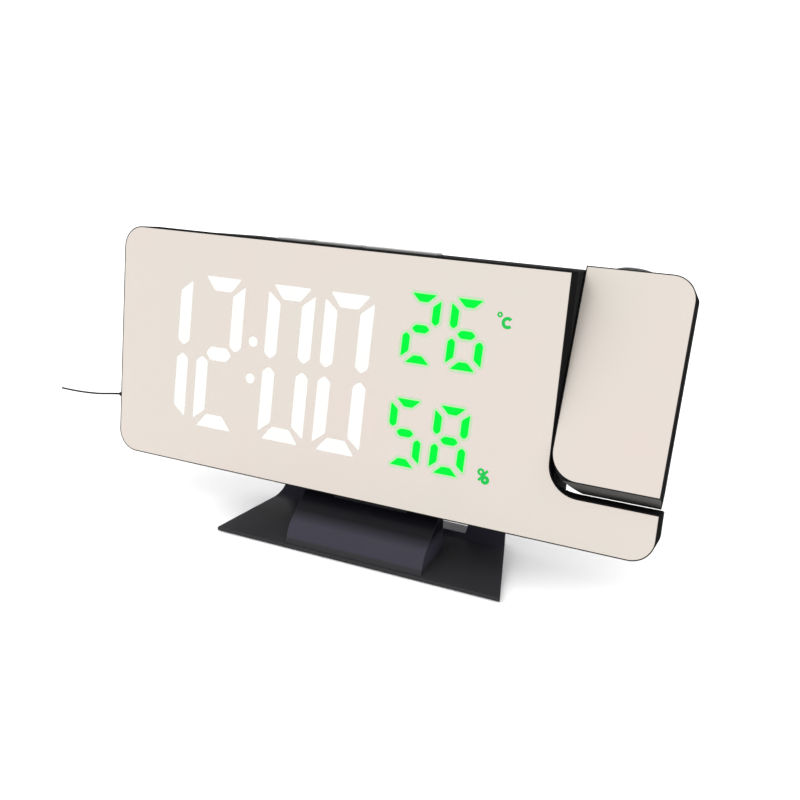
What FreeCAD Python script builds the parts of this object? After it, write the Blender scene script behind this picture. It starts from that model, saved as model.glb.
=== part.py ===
import FreeCAD, Part
import math
import os
import re
from collections import namedtuple

import Sketcher

# A mirror-fronted bedside clock that leans back on a moulded stand. A projector
# head hangs in a notch at its right end and turns on a hollow shaft.
# The panel frame has its origin at the mirror's bottom left corner: X runs
# along the panel, Y from the mirror to the back and Z up the panel. The stand
# frame is level, with Z = 0 at the table. The head is drawn upright in its
# notch and is then tilted about its shaft.

Vector = FreeCAD.Vector
Circle = namedtuple("Circle", "x y radius")

# Driving sizes in millimetres and degrees, with what each one means
SIZES = (
    ("panel_wide", 190.0, "width of the whole mirror front"),
    ("panel_tall", 78.8, "height of the mirror front"),
    ("panel_round", 7.0, "outer corners of the mirror"),
    ("lean", 11.5, "how far the panel leans back"),
    ("panel_rise", 17.8, "mirror's bottom edge above the table"),
    ("rim", 0.35, "black edge round the mirror"),
    ("wall", 1.8, "housing wall"),
    ("fit_gap", 0.05, "gap between pieces that are pressed or glued in"),
    ("mirror_thick", 1.8, "mirror pane"),
    ("web_thick", 1.2, "web of the front frame behind the mirror"),
    ("frame_deep", 6.6, "depth of the front frame"),
    ("plate_thick", 1.9, "flat edge of the rear cover"),
    ("hump_deep", 16.0, "how far the rear cover's hump stands out"),
    ("hump_start", 30.0, "left foot of the hump"),
    ("hump_flank", 14.0, "run of the hump's sloping left flank"),
    ("hump_foot", 2.0, "bottom of the hump"),
    ("hump_round", 4.0, "rounding of the hump's back edges"),
    ("notch_wide", 32.8, "notch that the head hangs in"),
    ("notch_floor", 14.3, "floor of the notch"),
    ("notch_round", 9.5, "inner corner of the notch"),
    ("head_gap", 0.4, "gap between the notch wall and the head"),
    ("head_rise", 2.2, "head's mirror above the notch floor"),
    ("head_deep", 25.0, "thickness of the head"),
    ("head_wall", 1.6, "head shell wall"),
    ("head_mirror_thick", 1.6, "mirror pane of the head"),
    ("head_round", 7.0, "top right corner of the head"),
    ("head_foot_round", 8.3, "bottom left corner of the head's mirror"),
    ("head_heel_round", 14.0, "bottom left corner of the head's shells"),
    ("draft_start", 2.6, "depth at which the head's right side begins to slope in"),
    ("head_draft", 5.5, "slope of the head's right side"),
    ("heel_radius", 16.5, "rounded underside of the head, about its shaft"),
    ("heel_turn", 55.0, "where the underside turns up into the back"),
    ("rest_tilt", 15.7, "how far the head is tilted back as shown"),
    ("pivot_deep", 12.6, "shaft behind the mirror's face"),
    ("pivot_up", 30.0, "shaft above the mirror's bottom edge"),
    ("shaft_radius", 4.0, "hollow shaft, outside"),
    ("shaft_bore", 2.6, "hollow shaft, inside"),
    ("run_gap", 0.05, "running gap of shafts and rings, on the radius"),
    ("bush_radius", 5.5, "bush pressed into the hump's wall"),
    ("lens_inset", 20.0, "optical axis from the panel's right end"),
    ("ring_radius", 7.1, "focus ring, outside"),
    ("ring_rise", 2.5, "focus ring above the head"),
    ("ring_sleeve", 6.2, "focus ring's sleeve"),
    ("cell_radius", 4.7, "lens cell"),
    ("cell_bore", 3.9, "bore of the lens cell"),
    ("barrel_radius", 6.6, "lens barrel"),
    ("key_deep", 8.0, "top keys, front to back"),
    ("key_front", 10.3, "front of the top keys"),
    ("key_proud", 0.6, "top keys above the housing"),
    ("key_travel", 0.5, "travel of a top key"),
    ("key_gap", 0.3, "gap round a key"),
    ("digit_wide", 17.3, "time digit, across"),
    ("digit_tall", 51.6, "time digit, height"),
    ("digit_base", 13.6, "bottom of the time digits"),
    ("digit_bar", 4.6, "bar of a time digit"),
    ("digit_first", 19.6, "centre of the first time digit"),
    ("digit_pitch", 20.9, "from one time digit to the next"),
    ("digit_pair", 26.4, "from the second time digit to the third"),
    ("digit_slant", 2.0, "slant of all digits"),
    ("dot_radius", 1.7, "colon dots"),
    ("small_wide", 11.4, "climate digit, across"),
    ("small_tall", 21.4, "climate digit, height"),
    ("small_bar", 2.5, "bar of a climate digit"),
    ("small_pitch", 14.8, "from one climate digit to the next"),
    ("small_first", 111.5, "centre of the first humidity digit"),
    ("small_shift", 2.2, "temperature digits to the right of the humidity ones"),
    ("upper_base", 46.6, "bottom of the temperature digits"),
    ("lower_base", 13.8, "bottom of the humidity digits"),
    ("guide_thick", 1.2, "depth of a light guide"),
    ("reflector_deep", 3.2, "depth of the reflector block"),
    ("board_thick", 1.2, "circuit boards"),
    ("stand_middle", 98.8, "middle of the stand along the panel"),
    ("stand_front", -10.5, "front edge of the stand"),
    ("stand_half", 50.4, "half width of the stand's front edge"),
    ("waist_half", 41.0, "half width at the stand's wall"),
    ("wall_front", 21.0, "front face of the stand's wall"),
    ("stand_wall", 2.5, "thickness of the stand's wall"),
    ("sole", 0.4, "underside of the stand above the table"),
    ("lip", 1.2, "thickness of the stand's front edge"),
    ("scoop_radius", 8.0, "scoop from wing to wall"),
    ("block_half", 24.2, "half width of the stand's block"),
    ("stem_half", 13.0, "half width of the stem behind the block"),
    ("tail_back", 54.0, "back edge of the tail foot"),
    ("tail_half", 32.0, "half width of the tail foot"),
    ("tail_thick", 3.0, "thickness of the tail foot"),
    ("window_reach", 28.6, "far end of a window from the stand's middle"),
    ("pad_radius", 3.6, "rubber pads under the stand"),
    ("pad_thick", 1.1, "thickness of a rubber pad"),
    ("screw_core", 0.95, "core of the small screws"),
    ("screw_head", 2.1, "head of the small screws"),
    ("screw_clear", 1.3, "clearance hole of the small screws"),
    ("boss_radius", 2.7, "screw boss"),
    ("cell_wide", 10.0, "radius of the coin cell"),
    ("cell_thick", 3.2, "thickness of the coin cell"),
    ("cell_along", 126.0, "middle of the coin cell along the panel"),
    ("cell_up", 40.0, "middle of the coin cell up the panel"),
    ("door_half", 13.0, "half width of the cell's door"),
    ("door_thick", 1.2, "cell door"),
    ("speaker_along", 66.0, "middle of the speaker along the panel"),
    ("speaker_up", 40.0, "middle of the speaker up the panel"),
    ("speaker_radius", 11.0, "speaker"),
    ("speaker_thick", 4.6, "depth of the speaker"),
    ("wire_radius", 0.35, "aerial wire"),
    ("relief_radius", 1.3, "collar of the aerial wire"),
    ("relief_neck", 1.2, "neck of the collar in the wall"),
    ("vent_along", 146.0, "middle of the vents along the panel"),
    ("vent_up", 52.0, "middle of the vents up the panel"),
    ("socket_along", 66.0, "middle of the power socket along the panel"),
    ("socket_up", 14.0, "middle of the power socket up the panel"),
    ("socket_half", 4.4, "half width of the power socket"),
    ("socket_tall", 1.9, "half height of the power socket"),
    ("window_sill", 4.1, "sill of the stand's windows"),
    ("window_top", 9.6, "top of the stand's windows"),
)

# Sizes that follow from the driving ones
FOLLOWS = {
    "edge_right": "panel_wide + rim",
    "edge_top": "panel_tall + rim",
    "notch_left": "panel_wide - notch_wide",
    "notch_wall": "notch_left + rim",
    "notch_sill": "notch_floor + rim",
    "web_back": "mirror_thick + web_thick",
    "cover_back": "frame_deep + plate_thick",
    "hump_back": "cover_back + hump_deep",
    "hump_inner": "hump_back - wall",
    "hump_top": "edge_top - wall",
    "hump_left": "hump_start + hump_flank",
    "head_left": "notch_wall + head_gap",
    "head_mirror_left": "head_left + rim",
    "head_mirror_foot": "notch_floor + head_rise",
    "head_edge": "head_mirror_foot - rim",
    "head_low": "pivot_up - heel_radius",
    "lens_along": "panel_wide - lens_inset",
    "head_web": "head_mirror_thick + head_wall - 0.2",
    "head_back": "head_deep - head_wall",
    "head_floor": "head_low + 4.2",
    "corner_reach": "sqrt(pivot_deep ^ 2 + (pivot_up - head_edge) ^ 2)",
    "heel_start": "180 deg + atan((pivot_up - head_edge) / pivot_deep) + acos(heel_radius / corner_reach)",
    "toe_radius": "(head_deep - pivot_deep - heel_radius * cos(heel_turn)) / (1 - cos(heel_turn))",
    "ring_top": "edge_top + ring_rise",
    "board_back": "mirror_thick + reflector_deep + board_thick",
    "wall_back": "wall_front + stand_wall",
    "wing_root": "sole + 2.8",
    "seat_front": "cover_back + 0.3",
    "key_board_top": "edge_top - 9.4",
    "switch_top": "key_board_top + 3.2",
    "screw_seat": "cover_back - 0.4",
    "screw_tip": "web_back + 0.6",
    "led_top": "pivot_up + 12.2",
    "barrel_foot": "led_top",
    "barrel_top": "edge_top - 9.6",
    "cell_foot": "barrel_top - 5.6",
    "cell_head": "edge_top + ring_rise - 2.6",
    "window_left": "digit_first - digit_wide / 2 - 1.8",
    "window_right": "small_first + small_shift + small_pitch + small_wide / 2 + 8",
    "window_low": "digit_base - 2.8",
    "window_high": "upper_base + small_tall + 3",
    "flank_skin": "wall * sqrt(1 + (hump_flank / hump_deep) ^ 2)",
    "cell_seat": "hump_inner - cell_thick - 2",
    "bush_inner": "notch_wall - wall - 1.4",
    "collar": "head_left + head_wall",
    "corner_room": "pivot_up - shaft_radius - 2.3 - head_floor",
    "head_screw_tip": "head_web + 1",
    "stand_screw_seat": "hump_foot - 5.2",
    "stand_screw_tip": "hump_foot + 7.6",
    "frame_heel_y": "cover_back * cos(lean) - rim * sin(lean)",
    "frame_heel_z": "panel_rise - rim * cos(lean) - cover_back * sin(lean)",
    "crest_y": "stand_front + 3.4",
    "crest_z": "sole + 6.6",
}

doc = FreeCAD.newDocument("projection_clock")
sizes = doc.addObject("Spreadsheet::Sheet", "sizes")
for row, (word, amount, meaning) in enumerate(SIZES, start=1):
    sizes.set(f"A{row}", str(amount))
    sizes.setAlias(f"A{row}", word)
    sizes.set(f"B{row}", meaning)
doc.recompute()
DRIVING = {word for word, amount, meaning in SIZES}


def formula(text):
    """The text with each size's word written as the sheet's cell or as what it follows from."""

    def one(match):
        word = match.group(0)
        if word in DRIVING:
            return "sizes." + word
        if word in FOLLOWS:
            return "(" + formula(FOLLOWS[word]) + ")"
        return word

    return re.sub(r"[a-z_]+", one, text)


def number(text):
    """The value of a formula, as a plain number."""
    found = sizes.evalExpression(formula(text))
    return float(getattr(found, "Value", found))


def bind(thing, prop, text):
    thing.setExpression(prop, formula(text))


# The frames that the pieces are drawn in
stand_frame = doc.addObject("App::Placement", "stand_frame")
bind(stand_frame, "Placement.Base.x", "stand_middle - panel_wide / 2")
bind(stand_frame, "Placement.Base.y", "-1 * (stand_front + tail_back) / 2")

panel_frame = doc.addObject("App::Placement", "panel_frame")
panel_frame.Placement.Rotation = FreeCAD.Rotation(Vector(1, 0, 0), -1)
bind(panel_frame, "Placement.Rotation.Angle", "-1 * lean")
bind(panel_frame, "Placement.Base.x", "-1 * panel_wide / 2")
bind(panel_frame, "Placement.Base.y", "-1 * (stand_front + tail_back) / 2")
bind(panel_frame, "Placement.Base.z", "panel_rise")

head_turn = doc.addObject("App::Placement", "head_turn")
head_turn.Placement.Rotation = FreeCAD.Rotation(Vector(1, 0, 0), -1)
bind(head_turn, "Placement.Rotation.Angle", "-1 * rest_tilt")
bind(head_turn, "Placement.Base.y",
     "pivot_deep - pivot_deep * cos(rest_tilt) - pivot_up * sin(rest_tilt)")
bind(head_turn, "Placement.Base.z",
     "pivot_up + pivot_deep * sin(rest_tilt) - pivot_up * cos(rest_tilt)")

head_frame = doc.addObject("App::Placement", "head_frame")
head_frame.setExpression("Placement", "panel_frame.Placement * head_turn.Placement")
doc.recompute()

PIECES = []


def piece(name, frame):
    """A new body of the document, standing in one of the frames."""
    body = doc.addObject("PartDesign::Body", name)
    body.Label = name
    body.setExpression("Placement", frame.Name + ".Placement")
    PIECES.append(body)
    return body


def shaped_piece(name, shape, frame):
    """A node whose shape is made with Part's own functions."""
    thing = doc.addObject("Part::Feature", name)
    thing.Label = name
    thing.Shape = shape
    thing.Placement = frame.Placement
    PIECES.append(thing)
    return thing


def arc_between(start, end, radius):
    """The short arc from start to end: counter-clockwise if the radius is positive."""
    middle = (start + end) / 2
    chord = end - start
    half = chord.Length / 2
    side = Vector(-chord.y, chord.x, 0) / chord.Length
    rise = math.sqrt(max(radius ** 2 - half ** 2, 0))
    centre = middle + side * math.copysign(rise, radius)
    ring = Part.Circle(centre, Vector(0, 0, 1), abs(radius))
    first, last = (start, end) if radius > 0 else (end, start)
    return Part.ArcOfCircle(ring, ring.parameter(first), ring.parameter(last))


def add_outline(sketch, corners):
    """A closed outline whose every corner is tied to the sheet. A third value is the
    radius of the arc that leads to the next corner."""
    spots = [Vector(number(c[0]), number(c[1]), 0) for c in corners]
    ends = []
    for i, corner in enumerate(corners):
        here, there = spots[i], spots[(i + 1) % len(spots)]
        if len(corner) == 2:
            line = sketch.addGeometry(Part.LineSegment(here, there), False)
            ends.append((line, 1, 2))
            continue
        radius = number(corner[2])
        arc = sketch.addGeometry(arc_between(here, there, radius), False)
        ends.append((arc, 1, 2) if radius > 0 else (arc, 2, 1))
        fixed = sketch.addConstraint(Sketcher.Constraint("Radius", arc, abs(radius)))
        bind(sketch, f"Constraints[{fixed}]", "abs(" + corner[2] + ")")
    for i, (edge, start, end) in enumerate(ends):
        after = ends[(i + 1) % len(ends)]
        sketch.addConstraint(Sketcher.Constraint("Coincident", edge, end, after[0], after[1]))
        for kind, text, value in (("DistanceX", corners[i][0], spots[i].x),
                                  ("DistanceY", corners[i][1], spots[i].y)):
            fixed = sketch.addConstraint(Sketcher.Constraint(kind, -1, 1, edge, start, value))
            bind(sketch, f"Constraints[{fixed}]", text)


def add_circle(sketch, ring):
    centre = Vector(number(ring.x), number(ring.y), 0)
    radius = number(ring.radius)
    edge = sketch.addGeometry(Part.Circle(centre, Vector(0, 0, 1), radius), False)
    for kind, text, value in (("DistanceX", ring.x, centre.x), ("DistanceY", ring.y, centre.y)):
        fixed = sketch.addConstraint(Sketcher.Constraint(kind, -1, 1, edge, 3, value))
        bind(sketch, f"Constraints[{fixed}]", text)
    fixed = sketch.addConstraint(Sketcher.Constraint("Radius", edge, radius))
    bind(sketch, f"Constraints[{fixed}]", ring.radius)


def add_sketch(body, name, plane, outlines, across="0", up="0", out="0"):
    """A sketch on one of the body's own planes, moved across, up and out of it."""
    sketch = body.newObject("Sketcher::SketchObject", f"{body.Name}_{name}_sketch")
    origin = [o for o in body.Origin.OriginFeatures if o.Role == plane + "_Plane"][0]
    sketch.AttachmentSupport = [(origin, "")]
    sketch.MapMode = "FlatFace"
    sign = "-1 * " if plane == "XZ" else ""
    bind(sketch, "AttachmentOffset.Base.x", across)
    bind(sketch, "AttachmentOffset.Base.y", up)
    bind(sketch, "AttachmentOffset.Base.z", sign + "(" + out + ")")
    for outline in outlines:
        if isinstance(outline, Circle):
            add_circle(sketch, outline)
        else:
            add_outline(sketch, outline)
    return sketch


def extrude(body, kind, name, plane, outlines, start, end):
    """A Pad or Pocket of the outlines from start to end along the plane's own axis."""
    sketch = add_sketch(body, name, plane, outlines, out=start)
    before = volume_of(body)
    feature = body.newObject("PartDesign::" + kind, f"{body.Name}_{name}")
    feature.Profile = sketch
    feature.Reversed = (plane == "XZ") == (kind == "Pad")
    bind(feature, "Length", f"({end}) - ({start})")
    settle(body, feature, kind, before)
    return feature


def turn(body, kind, name, plane, outline, axis, across="0", up="0", out="0"):
    """A Revolution or Groove of an outline about its sketch's H or V axis."""
    sketch = add_sketch(body, name, plane, [outline], across, up, out)
    before = volume_of(body)
    feature = body.newObject("PartDesign::" + kind, f"{body.Name}_{name}")
    feature.Profile = sketch
    feature.ReferenceAxis = (sketch, [axis + "_Axis"])
    feature.Angle = 360
    settle(body, feature, kind, before)
    return feature


def loft(body, kind, name, low, high, start, end):
    """A loft between two upright outlines, one behind the other."""
    first = add_sketch(body, name + "_front", "XZ", [low], out=start)
    last = add_sketch(body, name + "_back", "XZ", [high], out=end)
    before = volume_of(body)
    feature = body.newObject("PartDesign::" + kind + "Loft", f"{body.Name}_{name}")
    feature.Profile = first
    feature.Sections = [last]
    feature.Ruled = True
    settle(body, feature, "Pad" if kind == "Additive" else "Pocket", before)
    return feature


def volume_of(body):
    shape = body.Shape
    return 0.0 if shape.isNull() else shape.Volume


def settle(body, feature, kind, before):
    """Works the feature out and stops if it added or cut nothing."""
    doc.recompute()
    change = volume_of(body) - before
    adds = kind in ("Pad", "Revolution")
    if change * (1 if adds else -1) < 1e-3:
        raise ValueError(f"{feature.Name} changes the volume by {change:.4f}")


def along(direction, *spots):
    """A test for straight edges along X, Y or Z that pass through one of the spots,
    each given in the two other axes."""
    axis = "XYZ".index(direction)
    others = [i for i in range(3) if i != axis]
    wanted = [(number(a), number(b)) for a, b in spots]

    def test(edge):
        if not isinstance(edge.Curve, Part.Line):
            return False
        if abs(edge.Curve.Direction[axis]) < 0.999:
            return False
        spot = edge.valueAt(edge.FirstParameter)
        return any(math.hypot(spot[others[0]] - a, spot[others[1]] - b) < 0.02 for a, b in wanted)

    return test


def soften(body, kind, name, size, test):
    """A Fillet or Chamfer on the body's edges that pass the test."""
    doc.recompute()
    base = body.Tip
    names = [f"Edge{i}" for i, edge in enumerate(base.Shape.Edges, start=1) if test(edge)]
    if not names:
        raise ValueError(f"{body.Name}: no edge to soften for {name}")
    feature = body.newObject("PartDesign::" + kind, f"{body.Name}_{name}")
    feature.Base = (base, names)
    bind(feature, "Radius" if kind == "Fillet" else "Size", size)
    doc.recompute()
    return feature


def box(left, right, low, high):
    return [(left, low), (right, low), (right, high), (left, high)]


def rounded(corners):
    """An outline of level and upright lines, with an arc at each corner that names a radius."""
    spots = [(number(c[0]), number(c[1])) for c in corners]
    outline = []
    for i, corner in enumerate(corners):
        if len(corner) == 2:
            outline.append(corner)
            continue
        x, y, radius = corner
        before, here, after = spots[i - 1], spots[i], spots[(i + 1) % len(spots)]
        into = [sign_of(here[k] - before[k]) for k in (0, 1)]
        away = [sign_of(after[k] - here[k]) for k in (0, 1)]
        left_turn = into[0] * away[1] - into[1] * away[0]
        outline.append((f"{x} - {into[0]} * ({radius})", f"{y} - {into[1]} * ({radius})",
                        f"{left_turn} * ({radius})"))
        outline.append((f"{x} + {away[0]} * ({radius})", f"{y} + {away[1]} * ({radius})"))
    return outline


def sign_of(value):
    return 0 if abs(value) < 1e-6 else int(math.copysign(1, value))


def round_box(left, right, low, high, radius):
    return rounded([(x, y, radius) for x, y in box(left, right, low, high)])


def notched(grow):
    """The panel's outline with the head's notch, grown outwards."""
    outer = f"panel_round + {grow}"
    return rounded([
        (f"0 - {grow}", f"0 - {grow}", outer),
        (f"panel_wide + {grow}", f"0 - {grow}", outer),
        (f"panel_wide + {grow}", f"notch_floor + {grow}"),
        (f"notch_left + {grow}", f"notch_floor + {grow}", f"notch_round - {grow}"),
        (f"notch_left + {grow}", f"panel_tall + {grow}"),
        (f"0 - {grow}", f"panel_tall + {grow}", outer),
    ])


def sweep_clear(body):
    """Cuts the space that the head's rounded underside turns in, behind the mirror's edge."""
    front, reach = "mirror_thick - 0.4", "heel_radius + head_gap"
    meet = f"pivot_up - sqrt(({reach}) ^ 2 - (pivot_deep - ({front})) ^ 2)"
    swept = [(front, "pivot_up"), (front, meet, reach), ("pivot_deep", f"pivot_up - ({reach})"),
             ("pivot_deep", "pivot_up")]
    extrude(body, "Pocket", "sweep", "YZ", [swept], "notch_wall", "edge_right + 1")


# Where the rear cover is screwed to the front frame, along and up the panel
HUMP_SCREWS = (("notch_left - 6.5", "panel_tall - 8.8"), ("notch_left - 6.5", "7.4"))
PLATE_SCREWS = (("5.6", "9"), ("5.6", "panel_tall - 9"), ("panel_wide - 9", "6.2"))
COVER_SCREWS = HUMP_SCREWS + PLATE_SCREWS
# The head's screws
HEAD_SCREWS = (("edge_right - 6.2", "head_floor + 6"), ("edge_right - 6.2", "led_top + 6"),
               ("edge_right - 6.2", "edge_top - 7.5"))
# Top keys, with the ends of each along the panel
KEYS = (("left_key", "53.9", "66.1"), ("middle_key", "68.4", "84.3"), ("snooze_key", "86.1", "111"))
STAND_SCREWS = ("stand_middle - 7.6", "stand_middle + 7.6")
STAND_SCREW_DEEP = "15"
# Where the aerial wire leaves the left wall
AERIAL_DEEP = "web_back + 1.8"
AERIAL_UP = "18"
# The aerial wire's route in the panel frame, from its relief to its bare tip
AERIAL_ROUTE = ((-4.95, 4.8, 18.0), (-10.0, 5.3, 17.2), (-17.1, 7.8, 15.7), (-24.7, 11.0, 14.4),
                (-32.4, 14.0, 13.3), (-40.2, 17.0, 12.4), (-46.0, 19.0, 11.9))


def build_front_mirror():
    body = piece("front_mirror", panel_frame)
    extrude(body, "Pad", "pane", "XZ", [notched("0")], "0", "mirror_thick")


def build_front_frame():
    """A tray with a thin lip round the mirror, a web behind it with one window for the
    display, and screw bosses."""
    body = piece("front_frame", panel_frame)
    extrude(body, "Pad", "block", "XZ", [notched("rim")], "0", "frame_deep")
    extrude(body, "Pocket", "mirror_seat", "XZ", [notched("fit_gap")], "0", "mirror_thick")
    low, high, right = "wall - rim", "edge_top - wall", "edge_right - wall"
    inner = "panel_round + rim - wall"
    cavity = rounded([(low, low, inner), (right, low, inner), (right, "notch_sill - wall"),
                      ("notch_wall - wall", "notch_sill - wall"), ("notch_wall - wall", high),
                      (low, high, inner)])
    extrude(body, "Pocket", "cavity", "XZ", [cavity], "web_back", "frame_deep")
    extrude(body, "Pocket", "window", "XZ",
            [round_box("window_left", "window_right", "window_low", "window_high", "0.5")],
            "mirror_thick", "web_back")
    extrude(body, "Pad", "bosses", "XZ", [Circle(x, z, "boss_radius") for x, z in COVER_SCREWS],
            "web_back - 0.2", "frame_deep")
    extrude(body, "Pocket", "pilots", "XZ", [Circle(x, z, "screw_core + fit_gap") for x, z in COVER_SCREWS],
            "screw_tip - 0.3", "frame_deep")
    extrude(body, "Pocket", "aerial_hole", "YZ", [Circle(AERIAL_DEEP, AERIAL_UP, "relief_neck + fit_gap")],
            "0 - rim", "wall - rim + 0.5")
    sweep_clear(body)


def build_rear_cover():
    """The back: a flat edge that closes the frame and a hump with a sloping left flank,
    with the openings for keys, sound, air, power and the coin cell."""
    body = piece("rear_cover", panel_frame)
    extrude(body, "Pad", "plate", "XZ", [notched("rim")], "frame_deep", "cover_back")
    loft(body, "Additive", "hump", box("hump_start", "notch_wall", "hump_foot", "edge_top"),
         box("hump_left", "notch_wall", "hump_foot", "edge_top"), "cover_back", "hump_back")
    soften(body, "Fillet", "hump_edges", "hump_round",
           along("X", ("hump_back", "edge_top"), ("hump_back", "hump_foot")))
    slope = "hump_flank / hump_deep"
    front_x = f"hump_start - plate_thick * {slope} + flank_skin"
    back_x = f"hump_start + (hump_deep - wall) * {slope} + flank_skin"
    right, low = "notch_wall - wall", "hump_foot + wall"
    loft(body, "Subtractive", "hollow", box(front_x, right, low, "hump_top"),
         box(back_x, right, low, "hump_top"), "frame_deep", "hump_inner")
    sweep_clear(body)
    extrude(body, "Pad", "posts", "XZ", [Circle(x, z, "screw_head + 1.5") for x, z in HUMP_SCREWS],
            "frame_deep", "hump_inner + 0.2")
    extrude(body, "Pocket", "screw_holes", "XZ", [Circle(x, z, "screw_clear") for x, z in COVER_SCREWS],
            "frame_deep - 1", "screw_seat + 0.3")
    extrude(body, "Pocket", "wells", "XZ", [Circle(x, z, "screw_head + 0.3") for x, z in COVER_SCREWS],
            "screw_seat", "hump_back + 1")
    extrude(body, "Pocket", "bush_hole", "YZ", [Circle("pivot_deep", "pivot_up", "bush_radius + fit_gap")],
            "notch_wall - wall - 1", "notch_wall + 1")
    extrude(body, "Pad", "stand_bosses", "XY",
            [Circle(x, STAND_SCREW_DEEP, "boss_radius") for x in STAND_SCREWS],
            "hump_foot + 0.5 * wall", "stand_screw_tip + 1")
    extrude(body, "Pocket", "stand_pilots", "XY",
            [Circle(x, STAND_SCREW_DEEP, "screw_core + fit_gap") for x in STAND_SCREWS],
            "hump_foot - 1", "stand_screw_tip")
    extrude(body, "Pocket", "key_openings", "XY",
            [round_box(f"{a} - key_gap", f"{b} + key_gap", "key_front - key_gap",
                       "key_front + key_deep + key_gap", "1") for name, a, b in KEYS],
            "hump_top - 1", "edge_top + 1")
    extrude(body, "Pad", "board_brackets", "XZ",
            [box(x, f"{x} + 2", "key_board_top - board_thick - 2.4", "key_board_top - board_thick")
             for x in ("56", "107")], "key_front + 1", "hump_inner + 0.2")
    build_back_openings(body)


def build_back_openings(body):
    """Grille, vents, socket and coin cell door, all through the hump's back wall."""
    outer = "speaker_radius + fit_gap"
    extrude(body, "Pad", "speaker_rim", "XZ",
            [Circle("speaker_along", "speaker_up", outer + " + 1.1"),
             Circle("speaker_along", "speaker_up", outer)],
            "hump_inner - speaker_thick", "hump_inner + 0.2")
    slot = round_box("speaker_along - speaker_radius * 0.75", "speaker_along + speaker_radius * 0.75",
                     "speaker_up - 0.7", "speaker_up + 0.7", "0.65")
    first = extrude(body, "Pocket", "grille", "XZ", [slot], "hump_inner - 0.2", "hump_back + 1")
    mirrored_row(body, first, "grille", 3, "2.9")
    vent = round_box("vent_along - 5", "vent_along + 5", "vent_up - 0.6", "vent_up + 0.6", "0.55")
    first = extrude(body, "Pocket", "vents", "XZ", [vent], "hump_inner - 0.2", "hump_back + 1")
    mirrored_row(body, first, "vents", 2, "2.6")
    extrude(body, "Pocket", "socket_opening", "XZ",
            [round_box("socket_along - socket_half", "socket_along + socket_half",
                       "socket_up - socket_tall", "socket_up + socket_tall", "1.2")],
            "hump_inner - 0.2", "hump_back + 1")
    extrude(body, "Pocket", "door_recess", "XZ", [door_outline("0")],
            "hump_back - door_thick", "hump_back + 1")
    extrude(body, "Pocket", "cell_opening", "XZ", [door_outline("0 - 1.6")],
            "hump_inner - 0.2", "hump_back")


def mirrored_row(body, feature, name, count, pitch):
    """Repeats a pocket count times above and below itself."""
    for side, back in (("up", False), ("down", True)):
        row = body.newObject("PartDesign::LinearPattern", f"{body.Name}_{name}_{side}")
        row.Originals = [feature]
        row.Direction = (feature.Profile[0], ["V_Axis"])
        row.Reversed = back
        row.Occurrences = count + 1
        bind(row, "Length", f"{count} * {pitch}")
        body.Tip = row
        doc.recompute()


def door_outline(grow):
    return round_box(f"cell_along - door_half - ({grow})", f"cell_along + door_half + ({grow})",
                     f"cell_up - door_half - ({grow})", f"cell_up + door_half + ({grow})", "1.5")


def build_cell_parts():
    """The coin cell, the cup that holds it and the door that closes it."""
    body = piece("cell_holder", panel_frame)
    half = "cell_wide + 1.6"
    extrude(body, "Pad", "cup", "XZ",
            [round_box(f"cell_along - ({half})", f"cell_along + {half}", f"cell_up - ({half})",
                       f"cell_up + {half}", "2")], "cell_seat - 1.4", "hump_inner")
    extrude(body, "Pocket", "well", "XZ", [Circle("cell_along", "cell_up", "cell_wide + fit_gap")],
            "cell_seat", "hump_inner")
    body = piece("coin_cell", panel_frame)
    extrude(body, "Pad", "can", "XZ", [Circle("cell_along", "cell_up", "cell_wide")],
            "cell_seat", "cell_seat + cell_thick")
    soften(body, "Chamfer", "rim", "0.35", lambda edge: isinstance(edge.Curve, Part.Circle))
    body = piece("cell_door", panel_frame)
    extrude(body, "Pad", "plate", "XZ", [door_outline("0 - 0.2")], "hump_back - door_thick", "hump_back")
    extrude(body, "Pocket", "finger_groove", "XZ",
            [round_box("cell_along - 5", "cell_along + 5", "cell_up + door_half - 5.4",
                       "cell_up + door_half - 3.4", "0.9")], "hump_back - 0.6", "hump_back")


def bar_outlines(style):
    """The seven bars of a digit, with its middle at the origin of x and its foot at y = 0."""
    wide, tall, bar = number(style + "_wide"), number(style + "_tall"), number(style + "_bar")
    half, middle = wide / 2, tall / 2
    big = style == "digit"
    out, into = (1.7, bar + 0.8) if big else (1.7, bar + 1.8)
    side, side_in = (2.3, bar + 1.3) if big else (1.6, bar + 1.1)
    tip, shoulder = (1.3, 3.1) if big else (1.4, 2.4)
    end, slope = (3.6, 1.9) if big else (2.7, 1.3)
    deep = bar / 2
    top = [(-half + out, tall), (half - out, tall), (half - into, tall - bar), (-half + into, tall - bar)]
    left = [(-half, tall - side), (-half + bar, tall - side_in), (-half + bar, middle + shoulder),
            (-half + deep, middle + tip), (-half, middle + shoulder)]
    centre = [(-half + end, middle), (-half + end + slope, middle + deep),
              (half - end - slope, middle + deep), (half - end, middle),
              (half - end - slope, middle - deep), (-half + end + slope, middle - deep)]

    def flipped(points, across, up):
        return [(-x if across else x, tall - y if up else y) for x, y in points]

    return [top, flipped(left, True, False), flipped(left, True, True), flipped(top, False, True),
            flipped(left, False, True), left, centre]


def light_guide(points, along_x, foot, front, back):
    """One bar of a digit as a solid, from front to back in the panel."""
    slant = math.tan(math.radians(number("digit_slant")))
    middle = number("digit_tall") / 2
    ring = [Vector(along_x + x + (y - middle) * slant, front, foot + y) for x, y in points]
    face = Part.Face(Part.makePolygon(ring + ring[:1]))
    return face.extrude(Vector(0, back - front, 0))


def time_places():
    first, pitch, pair = number("digit_first"), number("digit_pitch"), number("digit_pair")
    second = first + pitch
    third = second + pair
    return [first, second, third, third + pitch]


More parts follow.
